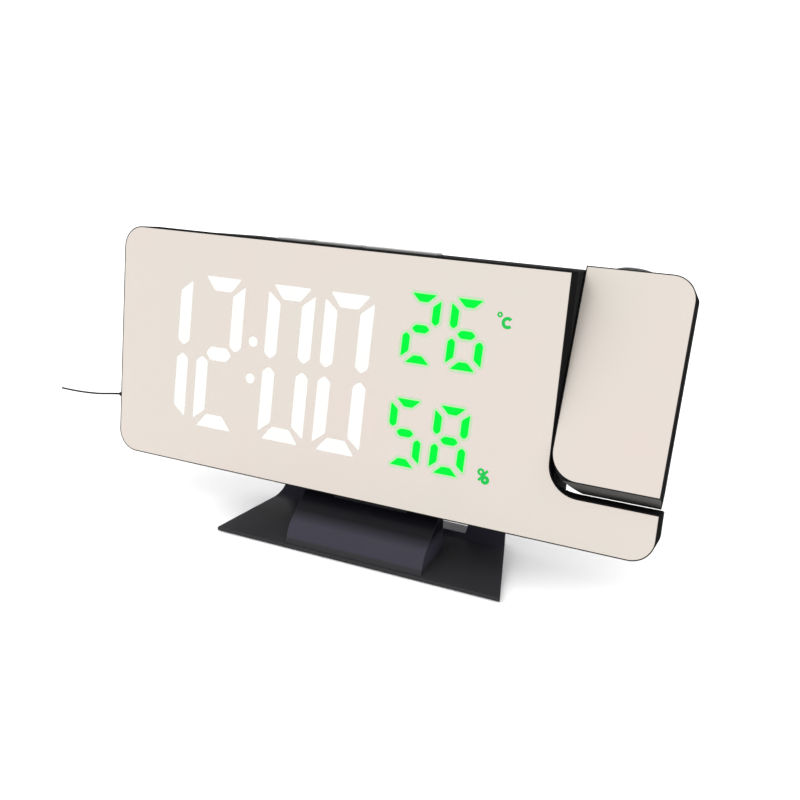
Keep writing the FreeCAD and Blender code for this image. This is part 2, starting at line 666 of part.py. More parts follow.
def time_solids(back):
    foot, front = number("digit_base"), number("mirror_thick")
    bars = bar_outlines("digit")
    solids = [light_guide(bar, x, foot, front, back) for x in time_places() for bar in bars]
    between = (time_places()[1] + time_places()[2]) / 2
    for share in (0.378, 0.618):
        up = foot + share * number("digit_tall")
        shift = (share - 0.5) * number("digit_tall") * math.tan(math.radians(number("digit_slant")))
        solids.append(Part.makeCylinder(number("dot_radius"), back - front,
                                        Vector(between + shift, front, up), Vector(0, 1, 0)))
    return solids


def climate_solids(back):
    """Two temperature digits above two humidity digits, which stand a little to the left."""
    front = number("mirror_thick")
    bars = bar_outlines("small")
    solids = []
    for foot, shift in ((number("upper_base"), number("small_shift")), (number("lower_base"), 0.0)):
        for place in range(2):
            middle = number("small_first") + shift + place * number("small_pitch")
            solids += [light_guide(bar, middle, foot, front, back) for bar in bars]
    return solids


def build_display():
    """The light guides behind the mirror and the white block whose wells they fill."""
    front = number("mirror_thick")
    guides_back = front + number("guide_thick")
    block_back = front + number("reflector_deep")
    shaped_piece("time_segments", Part.makeCompound(time_solids(guides_back)), panel_frame)
    shaped_piece("climate_segments", Part.makeCompound(climate_solids(guides_back)), panel_frame)
    inset = number("fit_gap") * 4
    left, low = number("window_left") + inset, number("window_low") + inset
    block = Part.makeBox(number("window_right") - inset - left, block_back - front,
                         number("window_high") - inset - low, Vector(left, front, low))
    wells = Part.makeCompound(time_solids(block_back + 1) + climate_solids(block_back + 1))
    shaped_piece("display_reflector", block.cut(wells), panel_frame)
    body = piece("main_board", panel_frame)
    extrude(body, "Pad", "board", "XZ",
            [round_box("window_left", "window_right + 1", "window_low - 1.4", "window_high + 1.4", "1")],
            "board_back - board_thick", "board_back")
    body = piece("clock_chip", panel_frame)
    extrude(body, "Pad", "case", "XZ", [box("92", "104", "36", "48")], "board_back", "board_back + 1.6")
    soften(body, "Chamfer", "bevel", "0.4", along("Z", ("92", "board_back + 1.6"),
                                                   ("104", "board_back + 1.6")))
    body = piece("quartz_can", panel_frame)
    turn(body, "Revolution", "can", "XZ", [("96", "0"), ("102.2", "0"), ("102.2", "1"), ("96", "1")], "H",
         up="26", out="board_back + 1")


def build_sound_and_air():
    """Speaker, climate sensor and power socket, all held at the hump's back wall."""
    body = piece("speaker", panel_frame)
    back, front = "hump_inner", "hump_inner - speaker_thick"
    turn(body, "Revolution", "frame", "YZ",
         [(front, "0"), (back + " - 1.2", "0"), (back + " - 2.2", "speaker_radius * 0.35"),
          (back + " - 0.6", "speaker_radius - 1.6"), (back, "speaker_radius - 1.6"),
          (back, "speaker_radius"), (back + " - 1.4", "speaker_radius"),
          (front + " + 0.8", "speaker_radius * 0.6"), (front, "speaker_radius * 0.6")],
         "H", up="speaker_up", out="speaker_along")
    body = piece("climate_sensor", panel_frame)
    extrude(body, "Pad", "board", "XZ",
            [box("vent_along - 5.5", "vent_along + 5.5", "vent_up - 6", "vent_up + 6")],
            "hump_inner - board_thick - 1.4", "hump_inner - 1.4")
    extrude(body, "Pad", "chip", "XZ",
            [box("vent_along - 2", "vent_along + 2", "vent_up - 2", "vent_up + 2")],
            "hump_inner - 1.5", "hump_inner - 0.3")
    body = piece("power_socket", panel_frame)
    grow = "fit_gap"
    extrude(body, "Pad", "shell", "XZ",
            [round_box(f"socket_along - socket_half + {grow}", f"socket_along + socket_half - {grow}",
                       f"socket_up - socket_tall + {grow}", f"socket_up + socket_tall - {grow}", "1.1")],
            "hump_back - 6.6", "hump_back - 0.4")
    extrude(body, "Pocket", "mouth", "XZ",
            [round_box("socket_along - socket_half + 0.6", "socket_along + socket_half - 0.6",
                       "socket_up - socket_tall + 0.6", "socket_up + socket_tall - 0.6", "0.7")],
            "hump_back - 5.6", "hump_back")
    extrude(body, "Pad", "tongue", "XZ",
            [box("socket_along - 2.6", "socket_along + 2.6", "socket_up - 0.35", "socket_up + 0.35")],
            "hump_back - 5.8", "hump_back - 1.2")


def build_keys():
    """Three keys in the top, each with a catch under the wall and a stem over a switch."""
    middle_deep = "key_front + key_deep / 2"
    for name, left, right in KEYS:
        body = piece(name, panel_frame)
        extrude(body, "Pad", "cap", "XY",
                [round_box(left, right, "key_front", "key_front + key_deep", "0.9")],
                "hump_top - 0.6", "edge_top + key_proud")
        extrude(body, "Pad", "catch", "XY",
                [box(left, right, "key_front - 1", "key_front + key_deep + 1")],
                "hump_top - 1.3", "hump_top - 0.1")
        extrude(body, "Pad", "stem", "XY", [Circle(f"({left} + {right}) / 2", middle_deep, "1.5")],
                "switch_top + key_travel + 0.1", "hump_top - 1.2")
        top = number("edge_top + key_proud")
        soften(body, "Chamfer", "crown", "0.3",
               lambda edge: min(v.Z for v in edge.Vertexes) > top - 0.01)
    body = piece("key_board", panel_frame)
    extrude(body, "Pad", "board", "XY", [box("52", "113", "key_front - 0.6", "hump_inner - 0.1")],
            "key_board_top - board_thick", "key_board_top")
    body = piece("key_switches", panel_frame)
    cans = [round_box(f"({a} + {b}) / 2 - 3", f"({a} + {b}) / 2 + 3", middle_deep + " - 3",
                      middle_deep + " + 3", "0.5") for name, a, b in KEYS]
    extrude(body, "Pad", "cans", "XY", cans, "key_board_top", "switch_top")
    extrude(body, "Pocket", "wells", "XY",
            [Circle(f"({a} + {b}) / 2", middle_deep, "1.7") for name, a, b in KEYS],
            "switch_top - 1", "switch_top")


def build_pivot():
    """The hollow shaft that the head turns on, with its bush, spring washer and clip."""
    axis = {"up": "pivot_up", "out": "pivot_deep"}
    body = piece("pivot_bush", panel_frame)
    turn(body, "Revolution", "ring", "XZ",
         [("bush_inner", "shaft_radius + run_gap"), ("notch_wall + 0.15", "shaft_radius + run_gap"),
          ("notch_wall + 0.15", "bush_radius"), ("notch_wall - wall", "bush_radius"),
          ("notch_wall - wall", "bush_radius + 1.8"), ("bush_inner", "bush_radius + 1.8")], "H", **axis)
    body = piece("pivot_shaft", head_frame)
    groove = "shaft_radius - 0.8"
    turn(body, "Revolution", "tube", "XZ",
         [("bush_inner - 3.4", "shaft_bore"), ("collar + 3.4", "shaft_bore"),
          ("collar + 3.4", "shaft_radius"), ("collar + 1.6", "shaft_radius"),
          ("collar + 1.6", "shaft_radius + 2.6"), ("collar", "shaft_radius + 2.6"),
          ("collar", "shaft_radius"), ("bush_inner - 1.6", "shaft_radius"),
          ("bush_inner - 1.6", groove), ("bush_inner - 2.5", groove),
          ("bush_inner - 2.5", "shaft_radius"), ("bush_inner - 3.4", "shaft_radius")], "H", **axis)
    body = piece("spring_washer", head_frame)
    turn(body, "Revolution", "cone", "XZ",
         [("bush_inner - 1.5", "shaft_radius + 0.1"), ("bush_inner - 1.1", "shaft_radius + 0.1"),
          ("bush_inner - 0.05", "shaft_radius + 2.6"), ("bush_inner - 0.45", "shaft_radius + 2.6")],
         "H", **axis)
    body = piece("shaft_clip", head_frame)
    turn(body, "Revolution", "ring", "XZ",
         [("bush_inner - 2.45", groove + " + fit_gap"), ("bush_inner - 1.65", groove + " + fit_gap"),
          ("bush_inner - 1.65", "shaft_radius + 1.5"), ("bush_inner - 2.45", "shaft_radius + 1.5")],
         "H", **axis)
    extrude(body, "Pocket", "mouth", "YZ",
            [box("pivot_deep - 1.8", "pivot_deep + 1.8", "pivot_up", "pivot_up + shaft_radius + 3")],
            "bush_inner - 3", "bush_inner")


def head_outline(low, foot_radius, grow):
    return rounded([
        (f"head_mirror_left - {grow}", low, foot_radius), (f"panel_wide + {grow}", low),
        (f"panel_wide + {grow}", f"panel_tall + {grow}", f"head_round + {grow}"),
        (f"head_mirror_left - {grow}", f"panel_tall + {grow}"),
    ])


def heel_point(angle, radius="heel_radius"):
    return (f"pivot_deep + {radius} * cos({angle})", f"pivot_up + {radius} * sin({angle})")


def slope_in(depth):
    """How far the head's right side has sloped in at a depth."""
    return f"({depth} - draft_start) * tan(head_draft)"


def slope_side(body):
    """Cuts the right side of a head shell to its slope."""
    beyond = "head_deep + 1"
    wedge = [("edge_right", "draft_start"), ("edge_right + 1", "draft_start"), ("edge_right + 1", beyond),
             ("edge_right - " + slope_in(beyond), beyond)]
    extrude(body, "Pocket", "side", "XY", [wedge], "head_low - 3", "edge_top + 1")


def hollow_shell(body, start, end):
    """The cavity that the two shells share, with ribs round the barrel and screw bosses."""
    left, right = "head_left + head_wall", "edge_right - head_wall - " + slope_in(end)
    cavity = rounded([(left, "head_floor", "corner_room"), (right, "head_floor", "1"),
                      (right, "edge_top - head_wall", "head_round - 1.2"),
                      (left, "edge_top - head_wall", "1")])
    extrude(body, "Pocket", "cavity", "XZ", [cavity], start, end)
    for name, foot in (("board_rib", "led_top - board_thick - 1.3"), ("low_rib", "led_top + 8"),
                       ("high_rib", "barrel_top - 3")):
        extrude(body, "Pad", name, "XZ", [box("head_left + 1", right + " + 0.5", foot, foot + " + 1.3")],
                start, end)


def bore_shell(body):
    """What the two shells clamp or clear together: barrel, focus ring and shaft."""
    extrude(body, "Pocket", "barrel_bed", "XY", [Circle("lens_along", "pivot_deep", "barrel_radius + fit_gap")],
            "led_top - board_thick - 2", "barrel_top + 0.1")
    extrude(body, "Pocket", "ring_hole", "XY",
            [Circle("lens_along", "pivot_deep", "ring_sleeve + run_gap")],
            "edge_top - head_wall - 1", "edge_top + 1")
    extrude(body, "Pocket", "shaft_hole", "YZ", [Circle("pivot_deep", "pivot_up", "shaft_radius + fit_gap")],
            "head_left - 1", "head_left + head_wall + 0.5")


def build_head_shells():
    low = "head_low - 1"
    under = "head_low - 3"
    toe = heel_point("heel_start")
    heel = heel_point("0 deg - heel_turn * 1 deg")
    body = piece("head_front_shell", head_frame)
    extrude(body, "Pad", "block", "XZ", [head_outline(low, "head_heel_round", "rim")], "0", "pivot_deep")
    extrude(body, "Pocket", "underside", "YZ",
            [[("0 - 1", under), ("pivot_deep", under), ("pivot_deep", "head_low", "0 - heel_radius"),
              toe, ("0", "head_edge"), ("0 - 1", "head_edge")]], "head_left - 1", "edge_right + 1")
    extrude(body, "Pocket", "mirror_seat", "XZ",
            [head_outline("head_mirror_foot - fit_gap", "head_foot_round", "fit_gap")],
            "0", "head_mirror_thick")
    slope_side(body)
    hollow_shell(body, "head_web", "pivot_deep")
    extrude(body, "Pad", "bosses", "XZ", [Circle(x, z, "boss_radius") for x, z in HEAD_SCREWS],
            "head_web - 0.2", "pivot_deep")
    extrude(body, "Pocket", "pilots", "XZ", [Circle(x, z, "screw_core + fit_gap") for x, z in HEAD_SCREWS],
            "head_screw_tip", "pivot_deep")
    bore_shell(body)

    body = piece("head_rear_shell", head_frame)
    extrude(body, "Pad", "block", "XZ", [head_outline(low, "head_heel_round", "rim")],
            "pivot_deep", "head_deep")
    extrude(body, "Pocket", "underside", "YZ",
            [[("pivot_deep", under), ("head_deep + 1", under), ("head_deep + 1", toe_end()),
              ("head_deep", toe_end(), "0 - toe_radius"), (heel[0], heel[1], "0 - heel_radius"),
              ("pivot_deep", "head_low")]], "head_left - 1", "edge_right + 1")
    slope_side(body)
    hollow_shell(body, "pivot_deep", "head_back")
    extrude(body, "Pad", "posts", "XZ", [Circle(x, z, "boss_radius + 0.6") for x, z in HEAD_SCREWS],
            "pivot_deep", "head_back + 0.2")
    extrude(body, "Pocket", "wells", "XZ", [Circle(x, z, "screw_head + 0.25") for x, z in HEAD_SCREWS],
            "pivot_deep + 3", "head_deep + 1")
    extrude(body, "Pocket", "screw_holes", "XZ", [Circle(x, z, "screw_clear") for x, z in HEAD_SCREWS],
            "pivot_deep", "pivot_deep + 3.2")
    bore_shell(body)
    soften(body, "Fillet", "back_edge", "1.5", along("X", ("head_deep", "edge_top")))

    body = piece("head_mirror", head_frame)
    extrude(body, "Pad", "pane", "XZ", [head_outline("head_mirror_foot", "head_foot_round", "0")],
            "0", "head_mirror_thick")


def toe_end():
    """Height at which the rounded underside meets the head's back."""
    return "pivot_up - (heel_radius - toe_radius) * sin(heel_turn)"


def sag(radius, bulge):
    """The radius of an arc that bulges by so much over a chord of twice the radius."""
    return f"(({radius}) ^ 2 + ({bulge}) ^ 2) / (2 * ({bulge}))"


def build_optics():
    """Everything on the optical axis, from the lamp up to the focus ring."""
    axis = {"across": "lens_along", "out": "pivot_deep"}
    bore = "cell_radius + run_gap"

    body = piece("led_board", head_frame)
    extrude(body, "Pad", "board", "XY",
            [box("lens_along - 7", "lens_along + 7", "pivot_deep - 6", "pivot_deep + 6")],
            "led_top - board_thick", "led_top")
    body = piece("projector_led", head_frame)
    turn(body, "Revolution", "dome", "XZ",
         [("0", "led_top"), ("1.9", "led_top"), ("1.9", "led_top + 0.6"), ("1.5", "led_top + 0.6", "1.5"),
          ("0", "led_top + 2.1")], "V", **axis)

    body = piece("lens_barrel", head_frame)
    turn(body, "Revolution", "tube", "XZ",
         [(bore, "barrel_foot"), ("barrel_radius", "barrel_foot"), ("barrel_radius", "barrel_top"),
          (bore, "barrel_top")], "V", **axis)
    extrude(body, "Pocket", "keyway", "XY",
            [box("lens_along + 4", "lens_along + cell_radius + 1.2", "pivot_deep - 0.9", "pivot_deep + 0.9")],
            "cell_foot - 1.6", "barrel_top")

    body = piece("condenser_lens", head_frame)
    turn(body, "Revolution", "lens", "XZ",
         [("0", "barrel_foot + 4.5"), ("cell_radius", "barrel_foot + 4.5"),
          ("cell_radius", "barrel_foot + 5.3", sag("cell_radius", "1.9")),
          ("0", "barrel_foot + 7.2")], "V", **axis)
    body = piece("time_film", head_frame)
    extrude(body, "Pad", "disc", "XY", [Circle("lens_along", "pivot_deep", "cell_radius")],
            "barrel_foot + 8.4", "barrel_foot + 9.5")

    body = piece("lens_cell", head_frame)
    turn(body, "Revolution", "tube", "XZ",
         [("cell_bore", "cell_foot"), ("cell_radius", "cell_foot"), ("cell_radius", "cell_head"),
          ("cell_bore + 0.3", "cell_head"), ("cell_bore + 0.3", "cell_head - 3"),
          ("cell_bore", "cell_head - 3")], "V", **axis)
    extrude(body, "Pad", "key", "XY",
            [box("lens_along + cell_radius - 0.4", "lens_along + cell_radius + 1", "pivot_deep - 0.8",
                 "pivot_deep + 0.8")], "cell_foot", "cell_foot + 2.6")
    body = piece("projection_lens", head_frame)
    rim_radius = "cell_bore + 0.3 - fit_gap"
    arc = sag(rim_radius, "0.8")
    turn(body, "Revolution", "lens", "XZ",
         [("0", "cell_head - 3.6", arc), (rim_radius, "cell_head - 2.8"),
          (rim_radius, "cell_head - 1.6", arc), ("0", "cell_head - 0.8")], "V", **axis)

    body = piece("focus_ring", head_frame)
    foot = "edge_top - head_wall - 1.35"
    turn(body, "Revolution", "ring", "XZ",
         [(bore, foot), ("ring_sleeve + 1.2", foot), ("ring_sleeve + 1.2", foot + " + 1.2"),
          ("ring_sleeve", foot + " + 1.2"), ("ring_sleeve", "edge_top + 0.3"),
          ("ring_radius", "edge_top + 0.3"), ("ring_radius", "ring_top - 1.4"),
          ("ring_radius - 0.5", "ring_top - 0.5"), ("ring_radius - 1.6", "ring_top"), (bore + " + 0.5", "ring_top"), (bore, "ring_top - 0.5")],
         "V", **axis)
    flute = extrude(body, "Pocket", "flute", "XY",
                    [Circle("lens_along + ring_radius + 0.25", "pivot_deep", "0.6")],
                    "edge_top", "ring_top")
    grip = body.newObject("PartDesign::PolarPattern", "focus_ring_grip")
    grip.Originals = [flute]
    grip.Axis = (body.getObject("focus_ring_ring_sketch"), ["V_Axis"])
    grip.Angle = 360
    grip.Occurrences = 18
    body.Tip = grip
    doc.recompute()


def screw_body(name, head_high, length):
    """One small screw, drawn pointing along +Y from under its head at the origin."""
    body = doc.addObject("PartDesign::Body", name)
    turn(body, "Revolution", "blank", "XY",
         [("0", f"0 - ({head_high})"), ("screw_head", f"0 - ({head_high})"), ("screw_head", "0"),
          ("screw_core", "0"), ("screw_core", length), ("0", length)], "V")
    return body.Shape


def placed(shape, spot, direction):
    """A copy of a shape drawn along +Y, moved to a spot and turned to a direction."""
    copy = shape.copy()
    copy.Placement = FreeCAD.Placement(spot, FreeCAD.Rotation(Vector(0, 1, 0), direction))
    return copy


def build_screws():
    seat, tip = number("screw_seat"), number("screw_tip")
    short = screw_body("cover_screw", "1.4", "screw_seat - screw_tip")
    forward = Vector(0, -1, 0)
    solids = [placed(short, Vector(number(x), seat, number(z)), forward) for x, z in COVER_SCREWS]
    shaped_piece("cover_screws", Part.makeCompound(solids), panel_frame)
    long = screw_body("head_screw", "1.4", "pivot_deep + 3 - head_screw_tip")
    seat = number("pivot_deep + 3")
    solids = [placed(long, Vector(number(x), seat, number(z)), forward) for x, z in HEAD_SCREWS]
    shaped_piece("head_screws", Part.makeCompound(solids), head_frame)
    deep = screw_body("stand_screw", "1.6", "stand_screw_tip - stand_screw_seat")
    spots = [Vector(number(x), number(STAND_SCREW_DEEP), number("stand_screw_seat")) for x in STAND_SCREWS]
    solids = [placed(deep, spot, Vector(0, 0, 1)) for spot in spots]
    shaped_piece("stand_screws", Part.makeCompound(solids), panel_frame)


def level_y(deep, up):
    """A panel point's Y in the stand frame."""
    return f"({deep}) * cos(lean) + ({up}) * sin(lean)"


def level_z(deep, up):
    """A panel point's height above the table."""
    return f"panel_rise + ({up}) * cos(lean) - ({deep}) * sin(lean)"


def under_panel(y, up):
    """Height of the panel plane z = up above a point of the stand."""
    return f"panel_rise + (({up}) - ({y}) * sin(lean)) / cos(lean)"


def build_stand():
    """A moulded foot: two tapering wings that scoop up into a wall under the clock, a
    wedge-shaped block in the middle, windows through the wall and a tail behind."""
    body = piece("stand_base", stand_frame)
    half, core, stem = "stand_half", "block_half", "stem_half"
    side = [("stand_front", "sole"), ("wall_back", "sole"),
            ("wall_back", under_panel("wall_back", "hump_foot")),
            ("wall_front", under_panel("wall_front", "hump_foot")),
            ("wall_front", "wing_root + scoop_radius", "0 - scoop_radius"),
            ("wall_front - scoop_radius", "wing_root"), ("stand_front", "sole + lip")]
    extrude(body, "Pad", "wings", "YZ", [side], f"0 - {half}", half)
    back_half = "stand_half - (stand_half - waist_half) * (wall_back + 1 - stand_front)" \
                " / (wall_front - stand_front)"
    wedge = [("stand_half", "stand_front"), ("stand_half + 1", "stand_front - 1"),
             ("stand_half + 1", "wall_back + 1"), (back_half, "wall_back + 1")]
    cut = extrude(body, "Pocket", "taper", "XY", [wedge], "0", "panel_rise + 3")
    mirror_across(body, cut, "taper")
    window = [("wall_front - 6", "window_sill + 0.38"), ("wall_back + 1", "window_sill - 1.24"),
              ("wall_back + 1", "window_top"), ("wall_front - 6", "window_top")]
    cut = extrude(body, "Pocket", "window", "YZ", [window], stem, "window_reach")
    mirror_across(body, cut, "window")
    meet = "6.6"
    block = [("stand_front + 0.5", "sole"), ("frame_heel_y", "sole"), ("frame_heel_y", "frame_heel_z"),
             (meet, under_panel(meet, "0 - rim")), ("crest_y", "crest_z")]
    extrude(body, "Pad", "block", "YZ", [block], f"0 - {core}", core)
    soften(body, "Fillet", "crest", "9", along("X", ("crest_y", "crest_z")))
    column = [("4", "sole"), ("wall_back", "sole"), ("wall_back", under_panel("wall_back", "hump_foot")),
              (level_y("seat_front", "hump_foot"), level_z("seat_front", "hump_foot")),
              (level_y("seat_front", "0 - rim"), level_z("seat_front", "0 - rim")),
              ("4", under_panel("4", "0 - rim") + " - 1.6")]
    extrude(body, "Pad", "column", "YZ", [column], f"0 - {stem}", stem)
    hollow = [("stand_front + 3.2", "sole"), ("4 - 1", "sole"), ("4 - 1", "crest_z + 4.0"),
              ("crest_y + 1.2", "crest_z - 1.8"), ("stand_front + 3.8", "crest_z - 2.4")]
    extrude(body, "Pocket", "hollow", "YZ", [hollow], f"0 - {core} + 2", f"{core} - 2")
    tail = [(f"0 - {stem}", "wall_back - 1"), (stem, "wall_back - 1"), (stem, "tail_back - 22"),
            ("tail_half", "tail_back - 17"), ("tail_half", "tail_back"), ("0 - tail_half", "tail_back"),
            ("0 - tail_half", "tail_back - 17"), (f"0 - {stem}", "tail_back - 22")]
    extrude(body, "Pad", "tail", "XY", [tail], "sole", "sole + tail_thick")
    soften(body, "Fillet", "tail_corners", "5", along("Z", ("tail_half", "tail_back"),
                                                      ("0 - tail_half", "tail_back")))
    gusset = [("wall_back - 1", "sole + 1"), ("wall_back - 1", under_panel("wall_back", "hump_foot")),
              ("wall_back", under_panel("wall_back", "hump_foot")),
              ("wall_back + 11", "sole + tail_thick"), ("wall_back + 11", "sole + 1")]
    extrude(body, "Pad", "gusset", "YZ", [gusset], f"0 - {stem}", stem)
    bore_stand(body, "counterbore", "screw_head + 0.5", "stand_screw_seat - 18", "stand_screw_seat")
    bore_stand(body, "screw_hole", "screw_clear", "stand_screw_seat - 1", "hump_foot + 1")
    extrude(body, "Pocket", "pad_seats", "XY", [Circle(x, y, "pad_radius + fit_gap") for x, y in PADS],
            "sole - 0.1", "pad_thick")
    body = piece("base_pads", stand_frame)
    extrude(body, "Pad", "pads", "XY", [Circle(x, y, "pad_radius") for x, y in PADS], "0", "pad_thick")


PADS = (("stand_half - 8", "stand_front + 7"), ("8 - stand_half", "stand_front + 7"),
        ("tail_half - 6.5", "tail_back - 7"), ("6.5 - tail_half", "tail_back - 7"))


def mirror_across(body, feature, name):
    """Repeats a feature on the other side of the stand's middle."""
    pair = body.newObject("PartDesign::Mirrored", f"{body.Name}_{name}_pair")
    pair.Originals = [feature]
    pair.MirrorPlane = ([o for o in body.Origin.OriginFeatures if o.Role == "YZ_Plane"][0], [""])
    before = volume_of(body)
    body.Tip = pair
    settle(body, pair, "Pocket", before)


def bore_stand(body, name, radius, start, end):
    """Two holes through the stand, square to the leaning clock."""
    centres = [Circle(f"{x} - stand_middle", STAND_SCREW_DEEP, radius) for x in STAND_SCREWS]
    sketch = add_sketch(body, name, "XY", centres)
    sketch.AttachmentOffset = FreeCAD.Placement(Vector(), FreeCAD.Rotation(Vector(1, 0, 0), -1))
    bind(sketch, "AttachmentOffset.Rotation.Angle", "-1 * lean")
    bind(sketch, "AttachmentOffset.Base.y", f"({start}) * sin(lean)")
    bind(sketch, "AttachmentOffset.Base.z", f"panel_rise + ({start}) * cos(lean)")
    before = volume_of(body)
    feature = body.newObject("PartDesign::Pocket", f"{body.Name}_{name}")
    feature.Profile = sketch
    feature.Reversed = True
    bind(feature, "Length", f"({end}) - ({start})")
    settle(body, feature, "Pocket", before)


def tube_path(points):
    """Straight runs joined by tangent arcs, each arc as large as its two runs allow."""
    edges, radii = [], []
    start = points[0]
    for before, here, after in zip(points, points[1:], points[2:]):
        into, away = (here - before), (after - here)
        half_turn = into.getAngle(away) / 2
        run = min(into.Length, away.Length)
        radius = 0.45 * run / math.tan(half_turn)
        reach = 0.45 * run
        into.normalize()
        away.normalize()
        first, last = here - into * reach, here + away * reach
        inward = away - into
        inward.normalize()
        centre = here + inward * (radius / math.cos(half_turn))
        outward = here - centre
        outward.normalize()
        edges.append(Part.LineSegment(start, first).toShape())
        edges.append(Part.Arc(first, centre + outward * radius, last).toShape())
        radii.append(round(radius, 1))
        start = last
    edges.append(Part.LineSegment(start, points[-1]).toShape())
    return Part.Wire(edges), radii


def tube(points, radius):
    """A round tube along a route, with its volume held against section times length."""
    path, radii = tube_path(points)
    ring = Part.Wire(Part.Circle(points[0], points[1] - points[0], radius).toShape())
    solid = path.makePipeShell([ring], True, False)
    share = solid.Volume / (math.pi * radius ** 2 * path.Length)
    print(f"tube of {path.Length:.1f} mm, arc radii {radii}, volume share {share:.4f}")
    return solid


def build_leads():
    """The aerial wire with its relief, and the lamp's lead through the hollow shaft."""
    body = piece("aerial_relief", panel_frame)
    turn(body, "Revolution", "grommet", "XZ",
         [("0 - rim - 4.6", "0"), ("0 - rim - 4.6", "wire_radius + 0.25"),
          ("0 - rim - 2.6", "relief_radius"), ("0 - rim", "relief_radius"), ("0 - rim", "relief_neck"),
          ("wall - rim", "relief_neck"), ("wall - rim", "relief_neck + 0.4"),
          ("wall - rim + 0.8", "relief_neck + 0.4"), ("wall - rim + 0.8", "0")], "H",
         up=AERIAL_UP, out=AERIAL_DEEP)
    route = [Vector(*point) for point in AERIAL_ROUTE]
    shaped_piece("aerial_wire", tube(route, number("wire_radius")), panel_frame)
    deep, up, along_x = number("pivot_deep"), number("pivot_up"), number("lens_along")
    route = [Vector(number("bush_inner") - 6, deep, up), Vector(along_x, deep, up),
             Vector(along_x, deep, number("led_top - board_thick"))]
    shaped_piece("projector_lead", tube(route, number("wire_radius + 0.1")), head_frame)


def check_and_write():
    """Stops at a failed object or shape, then writes every piece to its own file."""
    doc.recompute()
    for thing in doc.Objects:
        if {"Invalid", "Error"} & set(thing.State):
            raise ValueError(f"{thing.Name} is {thing.State}")
    os.makedirs("parts", exist_ok=True)
    for body in PIECES:
        shape = body.Shape
        if shape.isNull() or not shape.isValid() or not shape.Solids:
            raise ValueError(f"{body.Label} has no valid solid")
        shape.exportStep(f"parts/{body.Label}.step")
        print(f"{body.Label}: {len(shape.Solids)} solids, {shape.Volume:.1f} mm3")


build_front_mirror()
build_front_frame()
build_rear_cover()
build_cell_parts()
build_display()
build_sound_and_air()
build_keys()
build_pivot()
build_head_shells()
build_optics()
build_screws()
build_stand()
build_leads()
check_and_write()
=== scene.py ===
"""Finishes, lit digits, aerial wire and studio of a mirror-fronted projection clock."""

import math

import bmesh
import bpy
from bpy.props import FloatProperty, FloatVectorProperty, PointerProperty, StringProperty
from bpy.types import Operator, Panel, PropertyGroup
from mathutils import Euler, Matrix, Vector


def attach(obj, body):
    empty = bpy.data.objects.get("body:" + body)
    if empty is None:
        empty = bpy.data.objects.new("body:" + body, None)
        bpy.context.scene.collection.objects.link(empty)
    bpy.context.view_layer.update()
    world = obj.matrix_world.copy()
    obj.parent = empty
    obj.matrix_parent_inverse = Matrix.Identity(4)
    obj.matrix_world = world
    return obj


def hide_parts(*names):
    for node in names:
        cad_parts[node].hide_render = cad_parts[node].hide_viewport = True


bl_info = {
    "name": "Projection Clock",
    "version": (1, 0, 0),
    "blender": (4, 5, 0),
    "location": "View3D > Sidebar > Clock",
    "description": "Finishes, lit digits, aerial wire and studio of a mirror-fronted clock",
    "category": "Object",
}

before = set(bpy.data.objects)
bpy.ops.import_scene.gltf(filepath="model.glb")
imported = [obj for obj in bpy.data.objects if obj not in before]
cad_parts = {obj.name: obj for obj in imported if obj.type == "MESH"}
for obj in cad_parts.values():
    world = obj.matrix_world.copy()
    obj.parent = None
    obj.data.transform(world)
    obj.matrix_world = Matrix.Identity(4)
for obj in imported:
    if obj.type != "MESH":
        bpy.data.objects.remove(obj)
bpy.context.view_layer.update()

MM = 0.001
# The panel's own frame: origin at the mirror's bottom left corner, X along it, Z up it.
# The measures of the figures, marks and route below are in millimetres of this frame.
LEAN = math.radians(11.5)
PANEL_CORNER = Vector((-95.0, -21.75, 17.8)) * MM
PANEL = Matrix.Translation(PANEL_CORNER) @ Matrix.Rotation(-LEAN, 4, "X")

# Middles of the digits, along the panel and up it
TIME_MIDDLES = (19.6, 40.5, 66.9, 87.8)
TIME_UP = 39.4
UPPER_MIDDLES = (113.7, 128.5)
UPPER_UP = 57.3
LOWER_MIDDLES = (111.5, 126.3)
LOWER_UP = 24.5
# Half of a digit's room, and how near its middle a bar counts as a level one
TIME_HALF, TIME_LEVEL = 10.5, 5.5
CLIMATE_HALF, CLIMATE_LEVEL = 7.3, 3.4
# A digit's bars lie within this many halves above and below its middle
TALL_SHARE = 3
# How far from a bar's corner its rounding starts, and at most what share of the side that is
TIME_ROUNDING = 0.8
CLIMATE_ROUNDING = 0.55
CORNER_SHARE = 0.45
# Steps of a rounded corner and of a ring
CORNER_STEPS = 3
RING_STEPS = 20
# The bars that each figure lights, named a to g clockwise from the top, with g in the middle
LIT_BARS = {
    "0": "abcdef", "1": "bc", "2": "abdeg", "3": "abcdg", "4": "bcfg",
    "5": "acdfg", "6": "acdefg", "7": "abc", "8": "abcdefg", "9": "abcdfg",
}
# Reading the CAD's bars: points nearer than this are one, a front face's normal has this
# share to the front, and faces that turn by less than this angle in radians are one
SAME_POINT = 0.001
FRONT_FACING = 0.99
FLAT_ENOUGH = 0.02
# How far the lit plates and their glow stand before the mirror
PLATE = 0.03
GLOW_FRONT = 0.012

# Rings of the unit marks: middle, outer and inner radius, first and last angle in degrees
DEGREE_RING = ((137.7, 64.7), 0.85, 0.33, 0.0, 360.0)
CELSIUS_BOW = ((140.2, 62.5), 1.8, 0.8, 42.0, 318.0)
UPPER_ZERO = ((136.9, 17.0), 1.15, 0.4, 0.0, 360.0)
LOWER_ZERO = ((138.4, 14.7), 1.4, 0.3, 0.0, 360.0)
# The percent sign's stroke: its ends and its width
PERCENT_STROKE = ((136.3, 14.3), (139.0, 17.7), 0.8)

